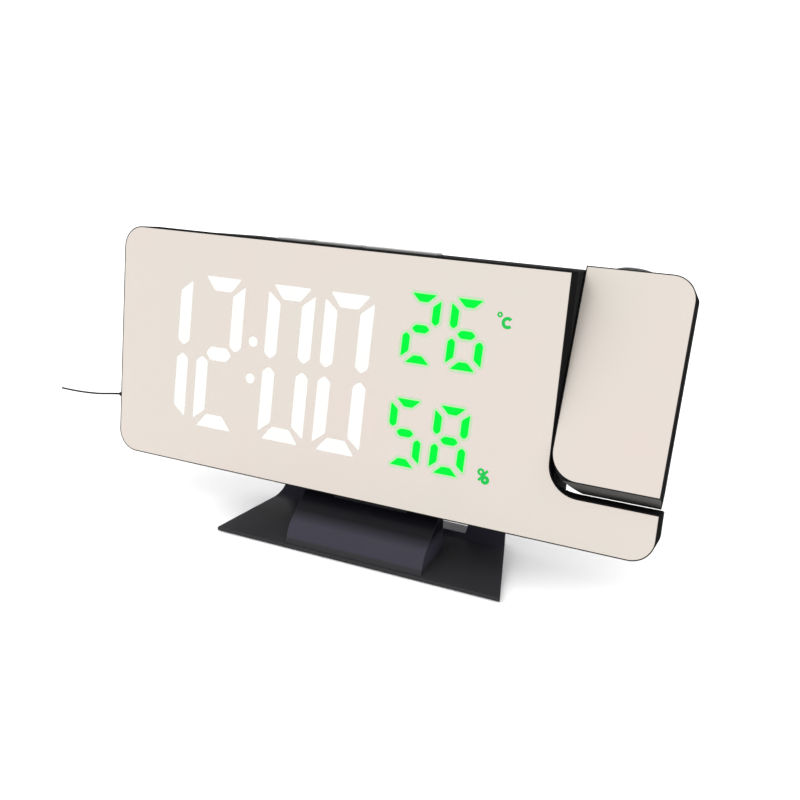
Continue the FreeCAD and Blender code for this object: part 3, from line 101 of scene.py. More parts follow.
# The aerial wire's route
AERIAL_ROUTE = (
    (-4.95, 4.8, 18.0), (-10.0, 5.3, 17.2), (-17.1, 7.8, 15.7), (-24.7, 11.0, 14.4),
    (-32.4, 14.0, 13.3), (-40.2, 17.0, 12.4), (-46.0, 19.0, 11.9),
)

# Heights in metres where the stand's colour changes: the wings' own colour, a painted sheen on
# the low front of the block and painted shade on its crest
WING_TOP = 0.0028
BLOCK_FOOT = 0.0036
BLOCK_BREAK = 0.0080
CREST_FOOT = 0.0105
STAND_TOP = 0.018

# Most of a noise's values lie between these two
NOISE_LOW, NOISE_HIGH = 0.35, 0.65
# Octaves of a broad noise and of a fine one
BROAD, FINE = 2.0, 3.0
# How the pane's tint, partly a painted reflection, leans to red and to green from patch to patch,
# and how far its haze goes
ROSY = (1.02, 0.985, 1.0)
MOSSY = (0.98, 1.015, 0.995)
HAZE_SPREAD = 0.02
# What lit pieces show of themselves beside their light
UNLIT = (0.0, 0.0, 0.0)
UNLIT_ROUGHNESS = 0.6
# How far the even light of the figures wanders, and over what width
LIGHT_LOW, LIGHT_HIGH = 0.96, 1.06
LIGHT_PATCH = 0.012
# Strength of the figures' light, and of their glow at the bars' edges
WHITE_STRENGTH, GREEN_STRENGTH = 1.02, 0.98
WHITE_GLOW, GREEN_GLOW = 0.3, 0.9
# Share of the glow's width that each group has, and the colour round the green bars
WHITE_REACH, GREEN_REACH = 0.45, 1.0
GREEN_HALO = (0.58, 1.0, 0.56)
# A surface's upward share where the painted reflection on its underside starts and where it is
# full
UNDER_START, UNDER_FULL = -0.2, -0.9
# Agreement of the rounded and the true normal where wear starts and where it is full
WEAR_START, WEAR_FULL = 0.98, 0.80
WEAR_PATCH = 0.003
WEAR_SAMPLES = 6
# The cover's paler and darker patches and the head's plain side, as shares of the cover's colour
COVER_DIM, COVER_PALE = 0.92, 1.08
SIDE_SHARE = 0.6
# Grain of the keys and of the stand, as shares of the cover's
KEY_GRAIN, STAND_GRAIN = 0.7, 0.8
# The lenses' glass and the violet coating on it
GLASS_INDEX = 1.52
COATING = 0.5
COATING_TINT = (0.62, 0.5, 1.0)

# Smoothness of the wire, round it and along it
WIRE_ROUND = 4
WIRE_STEPS = 16

# The camera's place in metres, its turn in degrees and its lens in millimetres
CAMERA_SPOT = Vector((0.1283, -0.2602, 0.1597))
CAMERA_TURN = (68.26, 0.0, 25.1)
CAMERA_LENS = 42.46
# Nothing nearer to the camera than this is drawn, in metres
CAMERA_NEAR = 0.01
# What the lamps point at, in metres
STUDIO_MIDDLE = (0.0, 0.0, 0.04)


class MirrorLook(PropertyGroup):
    """Half-silvered panes of the front and of the head"""

    # Partly painted reflection: besides tinting the silvering, this colour shows as an even
    # diffuse colour that stands for what the panes reflect
    painted_reflection_tint: FloatVectorProperty(
        name="Tint", description="Colour of what the panes reflect", subtype="COLOR",
        size=3, min=0.0, max=1.0, default=(0.539, 0.490, 0.448))
    haze: FloatProperty(
        name="Haze", description="Roughness of the panes", subtype="FACTOR",
        min=0.0, max=1.0, default=0.32)


class DisplayLook(PropertyGroup):
    """Figures that shine through the mirror"""

    time_figures: StringProperty(
        name="Time", description="Hours and minutes as four figures", default="1200")
    upper_figures: StringProperty(
        name="Temperature", description="Two figures of the temperature", default="26")
    lower_figures: StringProperty(
        name="Humidity", description="Two figures of the humidity", default="58")
    time_colour: FloatVectorProperty(
        name="Time colour", description="Light of the time figures", subtype="COLOR",
        size=3, min=0.0, max=1.0, default=(1.0, 1.0, 0.97))
    climate_colour: FloatVectorProperty(
        name="Climate colour", description="Light of the climate figures", subtype="COLOR",
        size=3, min=0.0, max=1.0, default=(0.004, 1.0, 0.058))
    mark_colour: FloatVectorProperty(
        name="Mark colour", description="Light of the unit marks", subtype="COLOR",
        size=3, min=0.0, max=1.0, default=(0.025, 0.62, 0.10))
    glow_width: FloatProperty(
        name="Glow width", description="Soft light round each bar", subtype="DISTANCE",
        unit="LENGTH", min=0.0, max=0.003, default=0.001)


class HousingLook(PropertyGroup):
    """Black mouldings of the clock, its head and its stand"""

    frame_colour: FloatVectorProperty(
        name="Frame", description="Frame round the mirror", subtype="COLOR",
        size=3, min=0.0, max=1.0, default=(0.009, 0.009, 0.009))
    cover_colour: FloatVectorProperty(
        name="Cover", description="Textured back and head shells", subtype="COLOR",
        size=3, min=0.0, max=1.0, default=(0.015, 0.015, 0.0155))
    stand_colour: FloatVectorProperty(
        name="Stand", description="Wings of the stand", subtype="COLOR",
        size=3, min=0.0, max=1.0, default=(0.024, 0.0235, 0.026))
    # Painted reflection: the head's underside is coloured pale grey for the light it reflects
    # from below
    heel_painted_reflection: FloatVectorProperty(
        name="Heel", description="Underside of the head", subtype="COLOR",
        size=3, min=0.0, max=1.0, default=(0.105, 0.103, 0.099))
    # Painted sheen: the block's low front is coloured lighter and bluer to stand for the bright
    # light it reflects
    block_painted_sheen: FloatVectorProperty(
        name="Block", description="Low front of the stand's block", subtype="COLOR",
        size=3, min=0.0, max=1.0, default=(0.034, 0.032, 0.045))
    # Painted shade: the top of the block is coloured near black for the shade under the panel
    crest_painted_shade: FloatVectorProperty(
        name="Crest", description="Top of the stand's block", subtype="COLOR",
        size=3, min=0.0, max=1.0, default=(0.004, 0.004, 0.006))
    grain_size: FloatProperty(
        name="Grain", description="Width of one grain of the moulded texture",
        subtype="DISTANCE", unit="LENGTH", min=0.0001, max=0.002, default=0.0004)


class WireLook(PropertyGroup):
    """The aerial wire"""

    colour: FloatVectorProperty(
        name="Jacket", description="Colour of the wire's jacket", subtype="COLOR",
        size=3, min=0.0, max=1.0, default=(0.006, 0.006, 0.007))
    thickness: FloatProperty(
        name="Thickness", description="Diameter of the wire", subtype="DISTANCE",
        unit="LENGTH", min=0.0004, max=0.002, default=0.0007)
    length: FloatProperty(
        name="Length", description="Real length of the wire", subtype="DISTANCE",
        unit="LENGTH", min=0.03, max=0.1, default=0.044)


class StudioLook(PropertyGroup):
    """Floor and light"""

    floor_colour: FloatVectorProperty(
        name="Floor", description="Colour of the floor", subtype="COLOR",
        size=3, min=0.0, max=1.0, default=(0.98, 0.98, 0.98))
    floor_size: FloatProperty(
        name="Floor size", description="Side of the floor", subtype="DISTANCE",
        unit="LENGTH", min=1.0, max=60.0, default=40.0)
    sky_strength: FloatProperty(
        name="Sky", description="Strength of the light from all round",
        min=0.0, max=5.0, default=1.4)


def panel_point(x, y, z):
    """A point of the panel frame, in millimetres, as a point of the row frame."""
    return PANEL @ (Vector((x, y, z)) * MM)


def new_finish(name, colour, roughness, metallic=0.0, specular=0.5):
    """A material with one Principled shader, whose even values stand on its own sockets."""
    finish = bpy.data.materials.new(name)
    finish.use_nodes = True
    shader = finish.node_tree.nodes["Principled BSDF"]
    shader.inputs["Base Color"].default_value = (*colour, 1.0)
    shader.inputs["Roughness"].default_value = roughness
    shader.inputs["Metallic"].default_value = metallic
    shader.inputs["Specular IOR Level"].default_value = specular
    return finish, shader


def spread(finish, size, detail=BROAD):
    """A noise over the object's own space, with patches of about the given width."""
    nodes, links = finish.node_tree.nodes, finish.node_tree.links
    place = nodes.new("ShaderNodeTexCoord")
    noise = nodes.new("ShaderNodeTexNoise")
    noise.inputs["Scale"].default_value = 1.0 / size
    noise.inputs["Detail"].default_value = detail
    links.new(place.outputs["Object"], noise.inputs["Vector"])
    return noise.outputs["Fac"]


def vary_roughness(finish, shader, size, low, high):
    """Roughness that wanders from low to high over patches of the given size."""
    nodes, links = finish.node_tree.nodes, finish.node_tree.links
    reach = nodes.new("ShaderNodeMapRange")
    reach.inputs["From Min"].default_value = NOISE_LOW
    reach.inputs["From Max"].default_value = NOISE_HIGH
    reach.inputs["To Min"].default_value = low
    reach.inputs["To Max"].default_value = high
    links.new(spread(finish, size), reach.inputs["Value"])
    links.new(reach.outputs["Result"], shader.inputs["Roughness"])


def vary_colour(finish, shader, size, first, second, soft=0.3):
    """Patches of two colours. The smaller soft is, the sharper are their edges."""
    nodes, links = finish.node_tree.nodes, finish.node_tree.links
    ramp = nodes.new("ShaderNodeValToRGB")
    ramp.color_ramp.elements[0].position = 0.5 - soft
    ramp.color_ramp.elements[0].color = (*first, 1.0)
    ramp.color_ramp.elements[1].position = 0.5 + soft
    ramp.color_ramp.elements[1].color = (*second, 1.0)
    links.new(spread(finish, size), ramp.inputs["Fac"])
    links.new(ramp.outputs["Color"], shader.inputs["Base Color"])


def add_grain(finish, shader, size, height, strength):
    """Fine relief on the surface: size and height are in metres."""
    nodes, links = finish.node_tree.nodes, finish.node_tree.links
    bump = nodes.new("ShaderNodeBump")
    bump.inputs["Strength"].default_value = strength
    bump.inputs["Distance"].default_value = height
    links.new(spread(finish, size, FINE), bump.inputs["Height"])
    links.new(bump.outputs["Normal"], shader.inputs["Normal"])


def lay_over(finish, shader, colour, share):
    """Lays a colour over the shader's own one, by the share that a socket gives."""
    nodes, links = finish.node_tree.nodes, finish.node_tree.links
    mix = nodes.new("ShaderNodeMix")
    mix.data_type = "RGBA"
    base = shader.inputs["Base Color"]
    if base.is_linked:
        links.new(base.links[0].from_socket, mix.inputs["A"])
    else:
        mix.inputs["A"].default_value = base.default_value
    mix.inputs["B"].default_value = (*colour, 1.0)
    links.new(share, mix.inputs["Factor"])
    links.new(mix.outputs["Result"], base)


def colour_below(finish, shader, colour):
    """Lays a colour over the surface where it faces down, as a painted reflection of the light
    from below.
    """
    nodes, links = finish.node_tree.nodes, finish.node_tree.links
    place = nodes.new("ShaderNodeTexCoord")
    parts = nodes.new("ShaderNodeSeparateXYZ")
    links.new(place.outputs["Normal"], parts.inputs["Vector"])
    reach = nodes.new("ShaderNodeMapRange")
    reach.inputs["From Min"].default_value = UNDER_START
    reach.inputs["From Max"].default_value = UNDER_FULL
    links.new(parts.outputs["Z"], reach.inputs["Value"])
    lay_over(finish, shader, colour, reach.outputs["Result"])


def colour_by_height(finish, shader, most, stops):
    """Colours that follow the height: the stops are heights in metres and their colours."""
    nodes, links = finish.node_tree.nodes, finish.node_tree.links
    place = nodes.new("ShaderNodeTexCoord")
    parts = nodes.new("ShaderNodeSeparateXYZ")
    links.new(place.outputs["Object"], parts.inputs["Vector"])
    share = nodes.new("ShaderNodeMapRange")
    share.inputs["From Max"].default_value = most
    links.new(parts.outputs["Z"], share.inputs["Value"])
    ramp = nodes.new("ShaderNodeValToRGB")
    while len(ramp.color_ramp.elements) < len(stops):
        ramp.color_ramp.elements.new(1.0)
    for element, (height, colour) in zip(ramp.color_ramp.elements, stops):
        element.position = height / most
        element.color = (*colour, 1.0)
    links.new(share.outputs["Result"], ramp.inputs["Fac"])
    links.new(ramp.outputs["Color"], shader.inputs["Base Color"])


def wear_edges(finish, shader, colour, width, most):
    """Lighter, rubbed edges: the colour fades in where the surface turns within the width."""
    nodes, links = finish.node_tree.nodes, finish.node_tree.links
    rounded = nodes.new("ShaderNodeBevel")
    rounded.samples = WEAR_SAMPLES
    rounded.inputs["Radius"].default_value = width
    shape = nodes.new("ShaderNodeNewGeometry")
    agree = nodes.new("ShaderNodeVectorMath")
    agree.operation = "DOT_PRODUCT"
    links.new(rounded.outputs["Normal"], agree.inputs[0])
    links.new(shape.outputs["Normal"], agree.inputs[1])
    reach = nodes.new("ShaderNodeMapRange")
    reach.inputs["From Min"].default_value = WEAR_START
    reach.inputs["From Max"].default_value = WEAR_FULL
    reach.inputs["To Max"].default_value = most
    links.new(agree.outputs["Value"], reach.inputs["Value"])
    patchy = nodes.new("ShaderNodeMath")
    patchy.operation = "MULTIPLY"
    links.new(reach.outputs["Result"], patchy.inputs[0])
    links.new(spread(finish, WEAR_PATCH, FINE), patchy.inputs[1])
    lay_over(finish, shader, colour, patchy.outputs["Value"])


def tinted(colour, shares):
    """The colour with each of its parts multiplied by a share of its own."""
    return tuple(part * share for part, share in zip(colour, shares))


def scaled(colour, share):
    """The colour made darker or lighter by one share."""
    return tinted(colour, (share, share, share))


def dress(finish, *nodes):
    """Gives the CAD's own pieces a finish."""
    for name in nodes:
        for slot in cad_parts[name].material_slots:
            slot.material = finish


def new_piece(name, work, finish, body):
    """Turns a finished bmesh into an object that rides on one of the bodies."""
    mesh = bpy.data.meshes.new(name)
    work.to_mesh(mesh)
    work.free()
    piece = bpy.data.objects.new(name, mesh)
    bpy.context.scene.collection.objects.link(piece)
    piece.data.materials.append(finish)
    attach(piece, body)


def front_outlines(node):
    """The front outline of every solid of a node, in millimetres of the panel frame."""
    work = bmesh.new()
    work.from_mesh(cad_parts[node].data)
    work.transform(Matrix.Scale(1 / MM, 4) @ PANEL.inverted())
    bmesh.ops.remove_doubles(work, verts=work.verts, dist=SAME_POINT)
    work.normal_update()
    others = [face for face in work.faces if face.normal.y > -FRONT_FACING]
    bmesh.ops.delete(work, geom=others, context="FACES")
    bmesh.ops.dissolve_limit(
        work, angle_limit=FLAT_ENOUGH, verts=work.verts, edges=work.edges)
    outlines = [[Vector((v.co.x, v.co.z)) for v in face.verts] for face in work.faces]
    work.free()
    return outlines


def middle_of(outline):
    """The mean of an outline's points."""
    return sum(outline, Vector((0.0, 0.0))) / len(outline)


def is_between_digits(outline):
    """True for the colon's dots, which lie in no digit of the time."""
    spot = middle_of(outline)
    return min(abs(spot.x - middle) for middle in TIME_MIDDLES) > TIME_HALF


def bar_name(spot, middle, up, level):
    """The bar's letter, from where its middle lies in its digit."""
    across, rise = spot.x - middle, spot.y - up
    if abs(across) < level:
        if abs(rise) < level:
            return "g"
        return "a" if rise > 0 else "d"
    if rise > 0:
        return "b" if across > 0 else "f"
    return "c" if across > 0 else "e"


def lit_outlines(outlines, figures, middles, up, half, level):
    """The outlines that the figures light."""
    lit = []
    for outline in outlines:
        spot = middle_of(outline)
        for figure, middle in zip(figures, middles):
            inside = abs(spot.x - middle) < half and abs(spot.y - up) < TALL_SHARE * half
            if inside and bar_name(spot, middle, up, level) in LIT_BARS[figure]:
                lit.append(outline)
    return lit


def step_towards(corner, point, most):
    """The place that far from the corner towards the point, or nearer on a short side."""
    side = point - corner
    return corner + side.normalized() * min(most, side.length * CORNER_SHARE)


def round_corners(outline, radius):
    """The outline with each corner turned into a short arc that starts radius away from it."""
    soft = []
    for i, corner in enumerate(outline):
        start = step_towards(corner, outline[i - 1], radius)
        end = step_towards(corner, outline[(i + 1) % len(outline)], radius)
        for step in range(CORNER_STEPS + 1):
            t = step / CORNER_STEPS
            soft.append(start * (1 - t) ** 2 + corner * 2 * t * (1 - t) + end * t ** 2)
    return soft


def stroke_ring(middle, outer, inner, first, last):
    """A ring, or a part of one, as quads in the panel's plane."""
    quads = []
    middle = Vector(middle)
    turns = [math.radians(first + (last - first) * i / RING_STEPS) for i in range(RING_STEPS + 1)]
    for start, end in zip(turns, turns[1:]):
        quads.append([
            middle + Vector((math.cos(angle), math.sin(angle))) * radius
            for angle, radius in ((start, inner), (start, outer), (end, outer), (end, inner))
        ])
    return quads


def stroke_line(start, end, width):
    """A straight stroke as one quad in the panel's plane."""
    start, end = Vector(start), Vector(end)
    side = (end - start).orthogonal().normalized() * width / 2
    return [start + side, start - side, end - side, end + side]


def unit_marks():
    """A degree ring with a C beside the temperature, and a percent sign by the humidity."""
    marks = []
    for ring in (DEGREE_RING, CELSIUS_BOW, UPPER_ZERO, LOWER_ZERO):
        marks += stroke_ring(*ring)
    marks.append(stroke_line(*PERCENT_STROKE))
    return marks


def plates(outlines):
    """Thin plates on the mirror's face, one for each outline."""
    work = bmesh.new()
    for outline in outlines:
        rear = [work.verts.new(panel_point(p.x, 0.0, p.y)) for p in outline]
        front = [work.verts.new(panel_point(p.x, -PLATE, p.y)) for p in outline]
        work.faces.new(front)
        for i, corner in enumerate(front):
            after = (i + 1) % len(front)
            work.faces.new((corner, front[after], rear[after], rear[i]))
    bmesh.ops.recalc_face_normals(work, faces=work.faces)
    return work


def glows(outlines, width):
    """A skirt of light round each outline, bright inside and fading outwards."""
    work = bmesh.new()
    share = work.loops.layers.float_color.new("glow")
    width = width / MM
    for outline in outlines:
        middle = middle_of(outline)
        inner = [work.verts.new(panel_point(p.x, -GLOW_FRONT, p.y)) for p in outline]
        pairs = []
        for i, point in enumerate(outline):
            after = outline[(i + 1) % len(outline)]
            out = (after - point).orthogonal().normalized()
            if out.dot((point + after) / 2 - middle) < 0:
                out = -out
            ends = (point + out * width, after + out * width)
            pairs.append([work.verts.new(panel_point(p.x, -GLOW_FRONT, p.y)) for p in ends])
        for i, (start, end) in enumerate(pairs):
            after = (i + 1) % len(pairs)
            shapes = [(inner[i], start, end, inner[after]), (inner[after], end, pairs[after][0])]
            for corners in shapes:
                face = work.faces.new(corners)
                for loop in face.loops:
                    bright = 1.0 if loop.vert in (inner[i], inner[after]) else 0.0
                    loop[share] = (bright, bright, bright, 1.0)
    bmesh.ops.recalc_face_normals(work, faces=work.faces)
    return work


def light_finish(name, colour, strength):
    """Even light that shines through the pane."""
    finish, shader = new_finish(name, UNLIT, UNLIT_ROUGHNESS, specular=0.0)
    shader.inputs["Emission Color"].default_value = (*colour, 1.0)
    nodes, links = finish.node_tree.nodes, finish.node_tree.links
    reach = nodes.new("ShaderNodeMapRange")
    reach.inputs["To Min"].default_value = strength * LIGHT_LOW
    reach.inputs["To Max"].default_value = strength * LIGHT_HIGH
    links.new(spread(finish, LIGHT_PATCH), reach.inputs["Value"])
    links.new(reach.outputs["Result"], shader.inputs["Emission Strength"])
    return finish


def glow_finish(name, colour, most):
    """Light that fades with the mesh's own glow colour."""
    finish, shader = new_finish(name, UNLIT, UNLIT_ROUGHNESS, specular=0.0)
    shader.inputs["Emission Color"].default_value = (*colour, 1.0)
    shader.inputs["Emission Strength"].default_value = 1.0
    nodes, links = finish.node_tree.nodes, finish.node_tree.links
    share = nodes.new("ShaderNodeVertexColor")
    share.layer_name = "glow"
    fade = nodes.new("ShaderNodeMath")
    fade.operation = "MULTIPLY"
    fade.inputs[1].default_value = most
    links.new(share.outputs["Color"], fade.inputs[0])
    links.new(fade.outputs["Value"], shader.inputs["Alpha"])
    return finish


class CLOCK_OT_mirrors(Operator):
    """Silver the two panes with a faint warm tint, whose diffuse part paints an even reflection
    """

    bl_idname = "clock.mirrors"
    bl_label = "Mirror Panes"

    def execute(self, context):
        look = context.scene.clock_mirror
        # With metallic at 0.35 most of the tint is diffuse colour, a painted even reflection
        finish, shader = new_finish(
            "half_silvered_pane", look.painted_reflection_tint, look.haze, metallic=0.35, specular=0.2)
        vary_colour(finish, shader, size=0.035,
                    first=tinted(look.painted_reflection_tint, ROSY), second=tinted(look.painted_reflection_tint, MOSSY))
        vary_roughness(finish, shader, size=0.02,
                       low=look.haze - HAZE_SPREAD, high=look.haze + HAZE_SPREAD)
        dress(finish, "front_mirror", "head_mirror")
        return {"FINISHED"}


class CLOCK_OT_display(Operator):
    """Light the figures, the colon and the unit marks on the mirror"""

    bl_idname = "clock.display"
    bl_label = "Lit Figures"

    def execute(self, context):
        look = context.scene.clock_display
        bars = front_outlines("time_segments")
        dots = [bar for bar in bars if is_between_digits(bar)]
        bars = [bar for bar in bars if bar not in dots]
        time = lit_outlines(
            bars, look.time_figures, TIME_MIDDLES, TIME_UP, TIME_HALF, TIME_LEVEL)
        bars = front_outlines("climate_segments")
        climate = lit_outlines(
            bars, look.upper_figures, UPPER_MIDDLES, UPPER_UP, CLIMATE_HALF, CLIMATE_LEVEL)
        climate += lit_outlines(
            bars, look.lower_figures, LOWER_MIDDLES, LOWER_UP, CLIMATE_HALF, CLIMATE_LEVEL)
        if not time or not climate:
            raise RuntimeError("no bar of the display was found")
        time = [round_corners(outline, TIME_ROUNDING) for outline in time] + dots
        climate = [round_corners(outline, CLIMATE_ROUNDING) for outline in climate]
        white = light_finish("white_figures", look.time_colour, WHITE_STRENGTH)
        green = light_finish("green_figures", look.climate_colour, GREEN_STRENGTH)
        white_glow = glow_finish("white_glow", look.time_colour, WHITE_GLOW)
        green_glow = glow_finish("green_glow", GREEN_HALO, GREEN_GLOW)
        groups = (
            ("time_figures", time, white, white_glow, WHITE_REACH, "time_light"),
            ("climate_figures", climate, green, green_glow, GREEN_REACH, "climate_light"),
        )
        for name, outlines, light, glow, reach, slot in groups:
            new_piece(name, plates(outlines), light, "clock_body")
            skirt = glows(outlines, look.glow_width * reach)
            new_piece(name + "_glow", skirt, glow, "clock_body")
        dim = light_finish("dim_green", look.mark_colour, GREEN_STRENGTH)
        new_piece("unit_marks", plates(unit_marks()), dim, "clock_body")
        guide, shader = new_finish("clear_guide", (0.8, 0.82, 0.8), roughness=0.25)
        vary_roughness(guide, shader, size=0.002, low=0.3, high=0.4)
        dress(guide, "time_segments", "climate_segments")
        return {"FINISHED"}


class CLOCK_OT_housing(Operator):
    """Finish the black frame, the textured covers and the keys"""

    bl_idname = "clock.housing"
    bl_label = "Housing"

    def execute(self, context):
        look = context.scene.clock_housing
        black, shader = new_finish("black_frame", look.frame_colour, roughness=0.36, specular=0.0)
        vary_roughness(black, shader, size=0.008, low=0.3, high=0.42)
        add_grain(black, shader, size=0.004, height=0.00001, strength=0.25)
        wear_edges(black, shader, (0.03, 0.03, 0.03), width=0.0002, most=0.8)
        dress(black, "front_frame")

        cover, shader = new_finish(
            "grained_cover", look.cover_colour, roughness=0.5, specular=0.0005)
        vary_roughness(cover, shader, size=0.006, low=0.46, high=0.58)
        vary_colour(cover, shader, size=0.01, first=scaled(look.cover_colour, COVER_DIM),
                    second=scaled(look.cover_colour, COVER_PALE))
        add_grain(cover, shader, size=look.grain_size, height=0.00004, strength=0.6)
        wear_edges(cover, shader, (0.08, 0.08, 0.08), width=0.0004, most=0.9)
        dress(cover, "rear_cover", "cell_door", "head_rear_shell")

        side = scaled(look.cover_colour, SIDE_SHARE)
        satin, shader = new_finish("satin_head", side, roughness=0.4, specular=0.0)
        vary_roughness(satin, shader, size=0.006, low=0.36, high=0.46)
        # Painted reflection: the head's underside is laid over in pale grey
        colour_below(satin, shader, look.heel_painted_reflection)
        add_grain(satin, shader, size=look.grain_size, height=0.00002, strength=0.4)
        wear_edges(satin, shader, (0.09, 0.09, 0.09), width=0.0003, most=0.6)
        dress(satin, "head_front_shell")

        # Partly painted sheen: the keys are black, and their mid grey colour stands in for part
        # of the sheen they show
        keys, shader = new_finish("satin_keys", (0.16, 0.16, 0.155), roughness=0.34, specular=0.6)
        vary_roughness(keys, shader, size=0.004, low=0.29, high=0.38)
        add_grain(keys, shader, size=look.grain_size * KEY_GRAIN, height=0.000015, strength=0.4)
        dress(keys, "left_key", "middle_key", "snooze_key")
        return {"FINISHED"}


class CLOCK_OT_projector(Operator):
    """Finish the focus ring, the lenses and what carries them"""

    bl_idname = "clock.projector"
    bl_label = "Projector"

    def execute(self, context):
        ring, shader = new_finish("focus_ring_grip", (0.026, 0.026, 0.028), roughness=0.42)
        vary_roughness(ring, shader, size=0.003, low=0.36, high=0.5)
        add_grain(ring, shader, size=0.0003, height=0.00002, strength=0.5)
        dress(ring, "focus_ring")

        barrel, shader = new_finish("dull_barrel", (0.012, 0.012, 0.012), roughness=0.62)
        vary_roughness(barrel, shader, size=0.003, low=0.56, high=0.7)
        dress(barrel, "lens_barrel", "lens_cell", "cell_holder")

        lens, shader = new_finish("coated_lens", (0.93, 0.96, 0.98), roughness=0.03)
        shader.inputs["Transmission Weight"].default_value = 1.0
        shader.inputs["IOR"].default_value = GLASS_INDEX
        shader.inputs["Coat Weight"].default_value = COATING
        shader.inputs["Coat Tint"].default_value = (*COATING_TINT, 1.0)
        vary_roughness(lens, shader, size=0.002, low=0.02, high=0.05)
        dress(lens, "projection_lens", "condenser_lens")

        film, shader = new_finish("printed_film", (0.03, 0.03, 0.035), roughness=0.2)
        vary_colour(film, shader, size=0.0012,
                    first=(0.02, 0.02, 0.025), second=(0.2, 0.2, 0.22), soft=0.05)
        dress(film, "time_film")

        lamp, shader = new_finish("lamp_dome", (0.9, 0.86, 0.62), roughness=0.12)
        vary_roughness(lamp, shader, size=0.001, low=0.1, high=0.2)
        dress(lamp, "projector_led")
        return {"FINISHED"}


class CLOCK_OT_stand(Operator):
    """Finish the satin stand, with a painted sheen and painted shade on its block, and its rubber
    pads
    """

    bl_idname = "clock.stand"
    bl_label = "Stand"

    def execute(self, context):
        look = context.scene.clock_housing
        stand, shader = new_finish("satin_stand", look.stand_colour, roughness=0.33, specular=0.1)
        vary_roughness(stand, shader, size=0.009, low=0.29, high=0.38)
        # Colour by height: the wings keep their own colour, the block's low front gets a painted
        # sheen and its crest painted shade
        colour_by_height(stand, shader, STAND_TOP, (
            (WING_TOP, look.stand_colour), (BLOCK_FOOT, look.block_painted_sheen),
            (BLOCK_BREAK, look.block_painted_sheen), (CREST_FOOT, look.crest_painted_shade)))
        add_grain(stand, shader, size=look.grain_size * STAND_GRAIN,
                  height=0.00001, strength=0.25)
        wear_edges(stand, shader, (0.06, 0.06, 0.065), width=0.0004, most=0.8)
        dress(stand, "stand_base")

        pads, shader = new_finish("soft_pads", (0.03, 0.03, 0.03), roughness=0.8)
        vary_roughness(pads, shader, size=0.002, low=0.7, high=0.9)
        add_grain(pads, shader, size=0.0005, height=0.00004, strength=0.6)
        dress(pads, "base_pads")
        return {"FINISHED"}


class CLOCK_OT_works(Operator):
    """Finish the boards, the speaker, the cell, the pivot and the screws"""

    bl_idname = "clock.works"
    bl_label = "Works"

    def execute(self, context):
        board, shader = new_finish("solder_mask", (0.02, 0.16, 0.07), roughness=0.3)
        vary_colour(board, shader, size=0.0016,
                    first=(0.015, 0.12, 0.05), second=(0.03, 0.2, 0.09), soft=0.06)
        dress(board, "main_board", "key_board", "led_board", "climate_sensor")

        white, shader = new_finish("white_reflector", (0.8, 0.8, 0.78), roughness=0.5)
        vary_roughness(white, shader, size=0.004, low=0.42, high=0.6)
        dress(white, "display_reflector", "pivot_bush")

        steel, shader = new_finish("plated_steel", (0.5, 0.5, 0.51), roughness=0.34, metallic=1.0)
        vary_roughness(steel, shader, size=0.0015, low=0.3, high=0.4)
        add_grain(steel, shader, size=0.0004, height=0.000004, strength=0.2)
        dress(steel, "coin_cell", "quartz_can", "power_socket", "key_switches",
              "pivot_shaft", "spring_washer", "shaft_clip")

        screws, shader = new_finish(
            "blackened_screws", (0.035, 0.035, 0.038), roughness=0.34, metallic=1.0)
        vary_roughness(screws, shader, size=0.0008, low=0.28, high=0.46)
        dress(screws, "cover_screws", "head_screws", "stand_screws")

        cone, shader = new_finish("speaker_film", (0.03, 0.03, 0.033), roughness=0.42)
        vary_roughness(cone, shader, size=0.003, low=0.34, high=0.55)
        dress(cone, "speaker", "clock_chip")
        return {"FINISHED"}


class CLOCK_OT_aerial(Operator):
    """Lay the aerial wire along its route and finish its relief"""

    bl_idname = "clock.aerial"
    bl_label = "Aerial Wire"

    def execute(self, context):
        look = context.scene.clock_wire
        jacket, shader = new_finish("wire_jacket", look.colour, roughness=0.5, specular=0.04)
        vary_roughness(jacket, shader, size=0.002, low=0.44, high=0.58)
        dress(jacket, "aerial_relief", "projector_lead")

        route = [panel_point(*point) for point in AERIAL_ROUTE]
        line = bpy.data.curves.new("aerial_line", "CURVE")
        line.dimensions = "3D"
        line.bevel_depth = look.thickness / 2
        line.bevel_resolution = WIRE_ROUND
        line.resolution_u = WIRE_STEPS
        line.use_fill_caps = True
        spline = line.splines.new("NURBS")
        spline.points.add(len(route) - 1)
        for point, spot in zip(spline.points, route):
            point.co = (*spot, 1.0)
        spline.order_u = 3
        spline.use_endpoint_u = True
        wire = bpy.data.objects.new("aerial_line", line)
        context.scene.collection.objects.link(wire)
        line.materials.append(jacket)
        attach(wire, "clock_body")
        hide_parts("aerial_wire")
        return {"FINISHED"}


def area_light(name, spot, size, power):
    """A soft lamp that points at the studio's middle and shows in no reflection."""
    lamp = bpy.data.lights.new(name, "AREA")
    lamp.shape = "RECTANGLE"
    lamp.size, lamp.size_y = size
    lamp.energy = power
    thing = bpy.data.objects.new(name, lamp)
    thing.location = spot
    aim = Vector(STUDIO_MIDDLE) - Vector(spot)
    thing.rotation_euler = aim.to_track_quat("-Z", "Y").to_euler()
    thing.visible_glossy = False
    bpy.context.scene.collection.objects.link(thing)


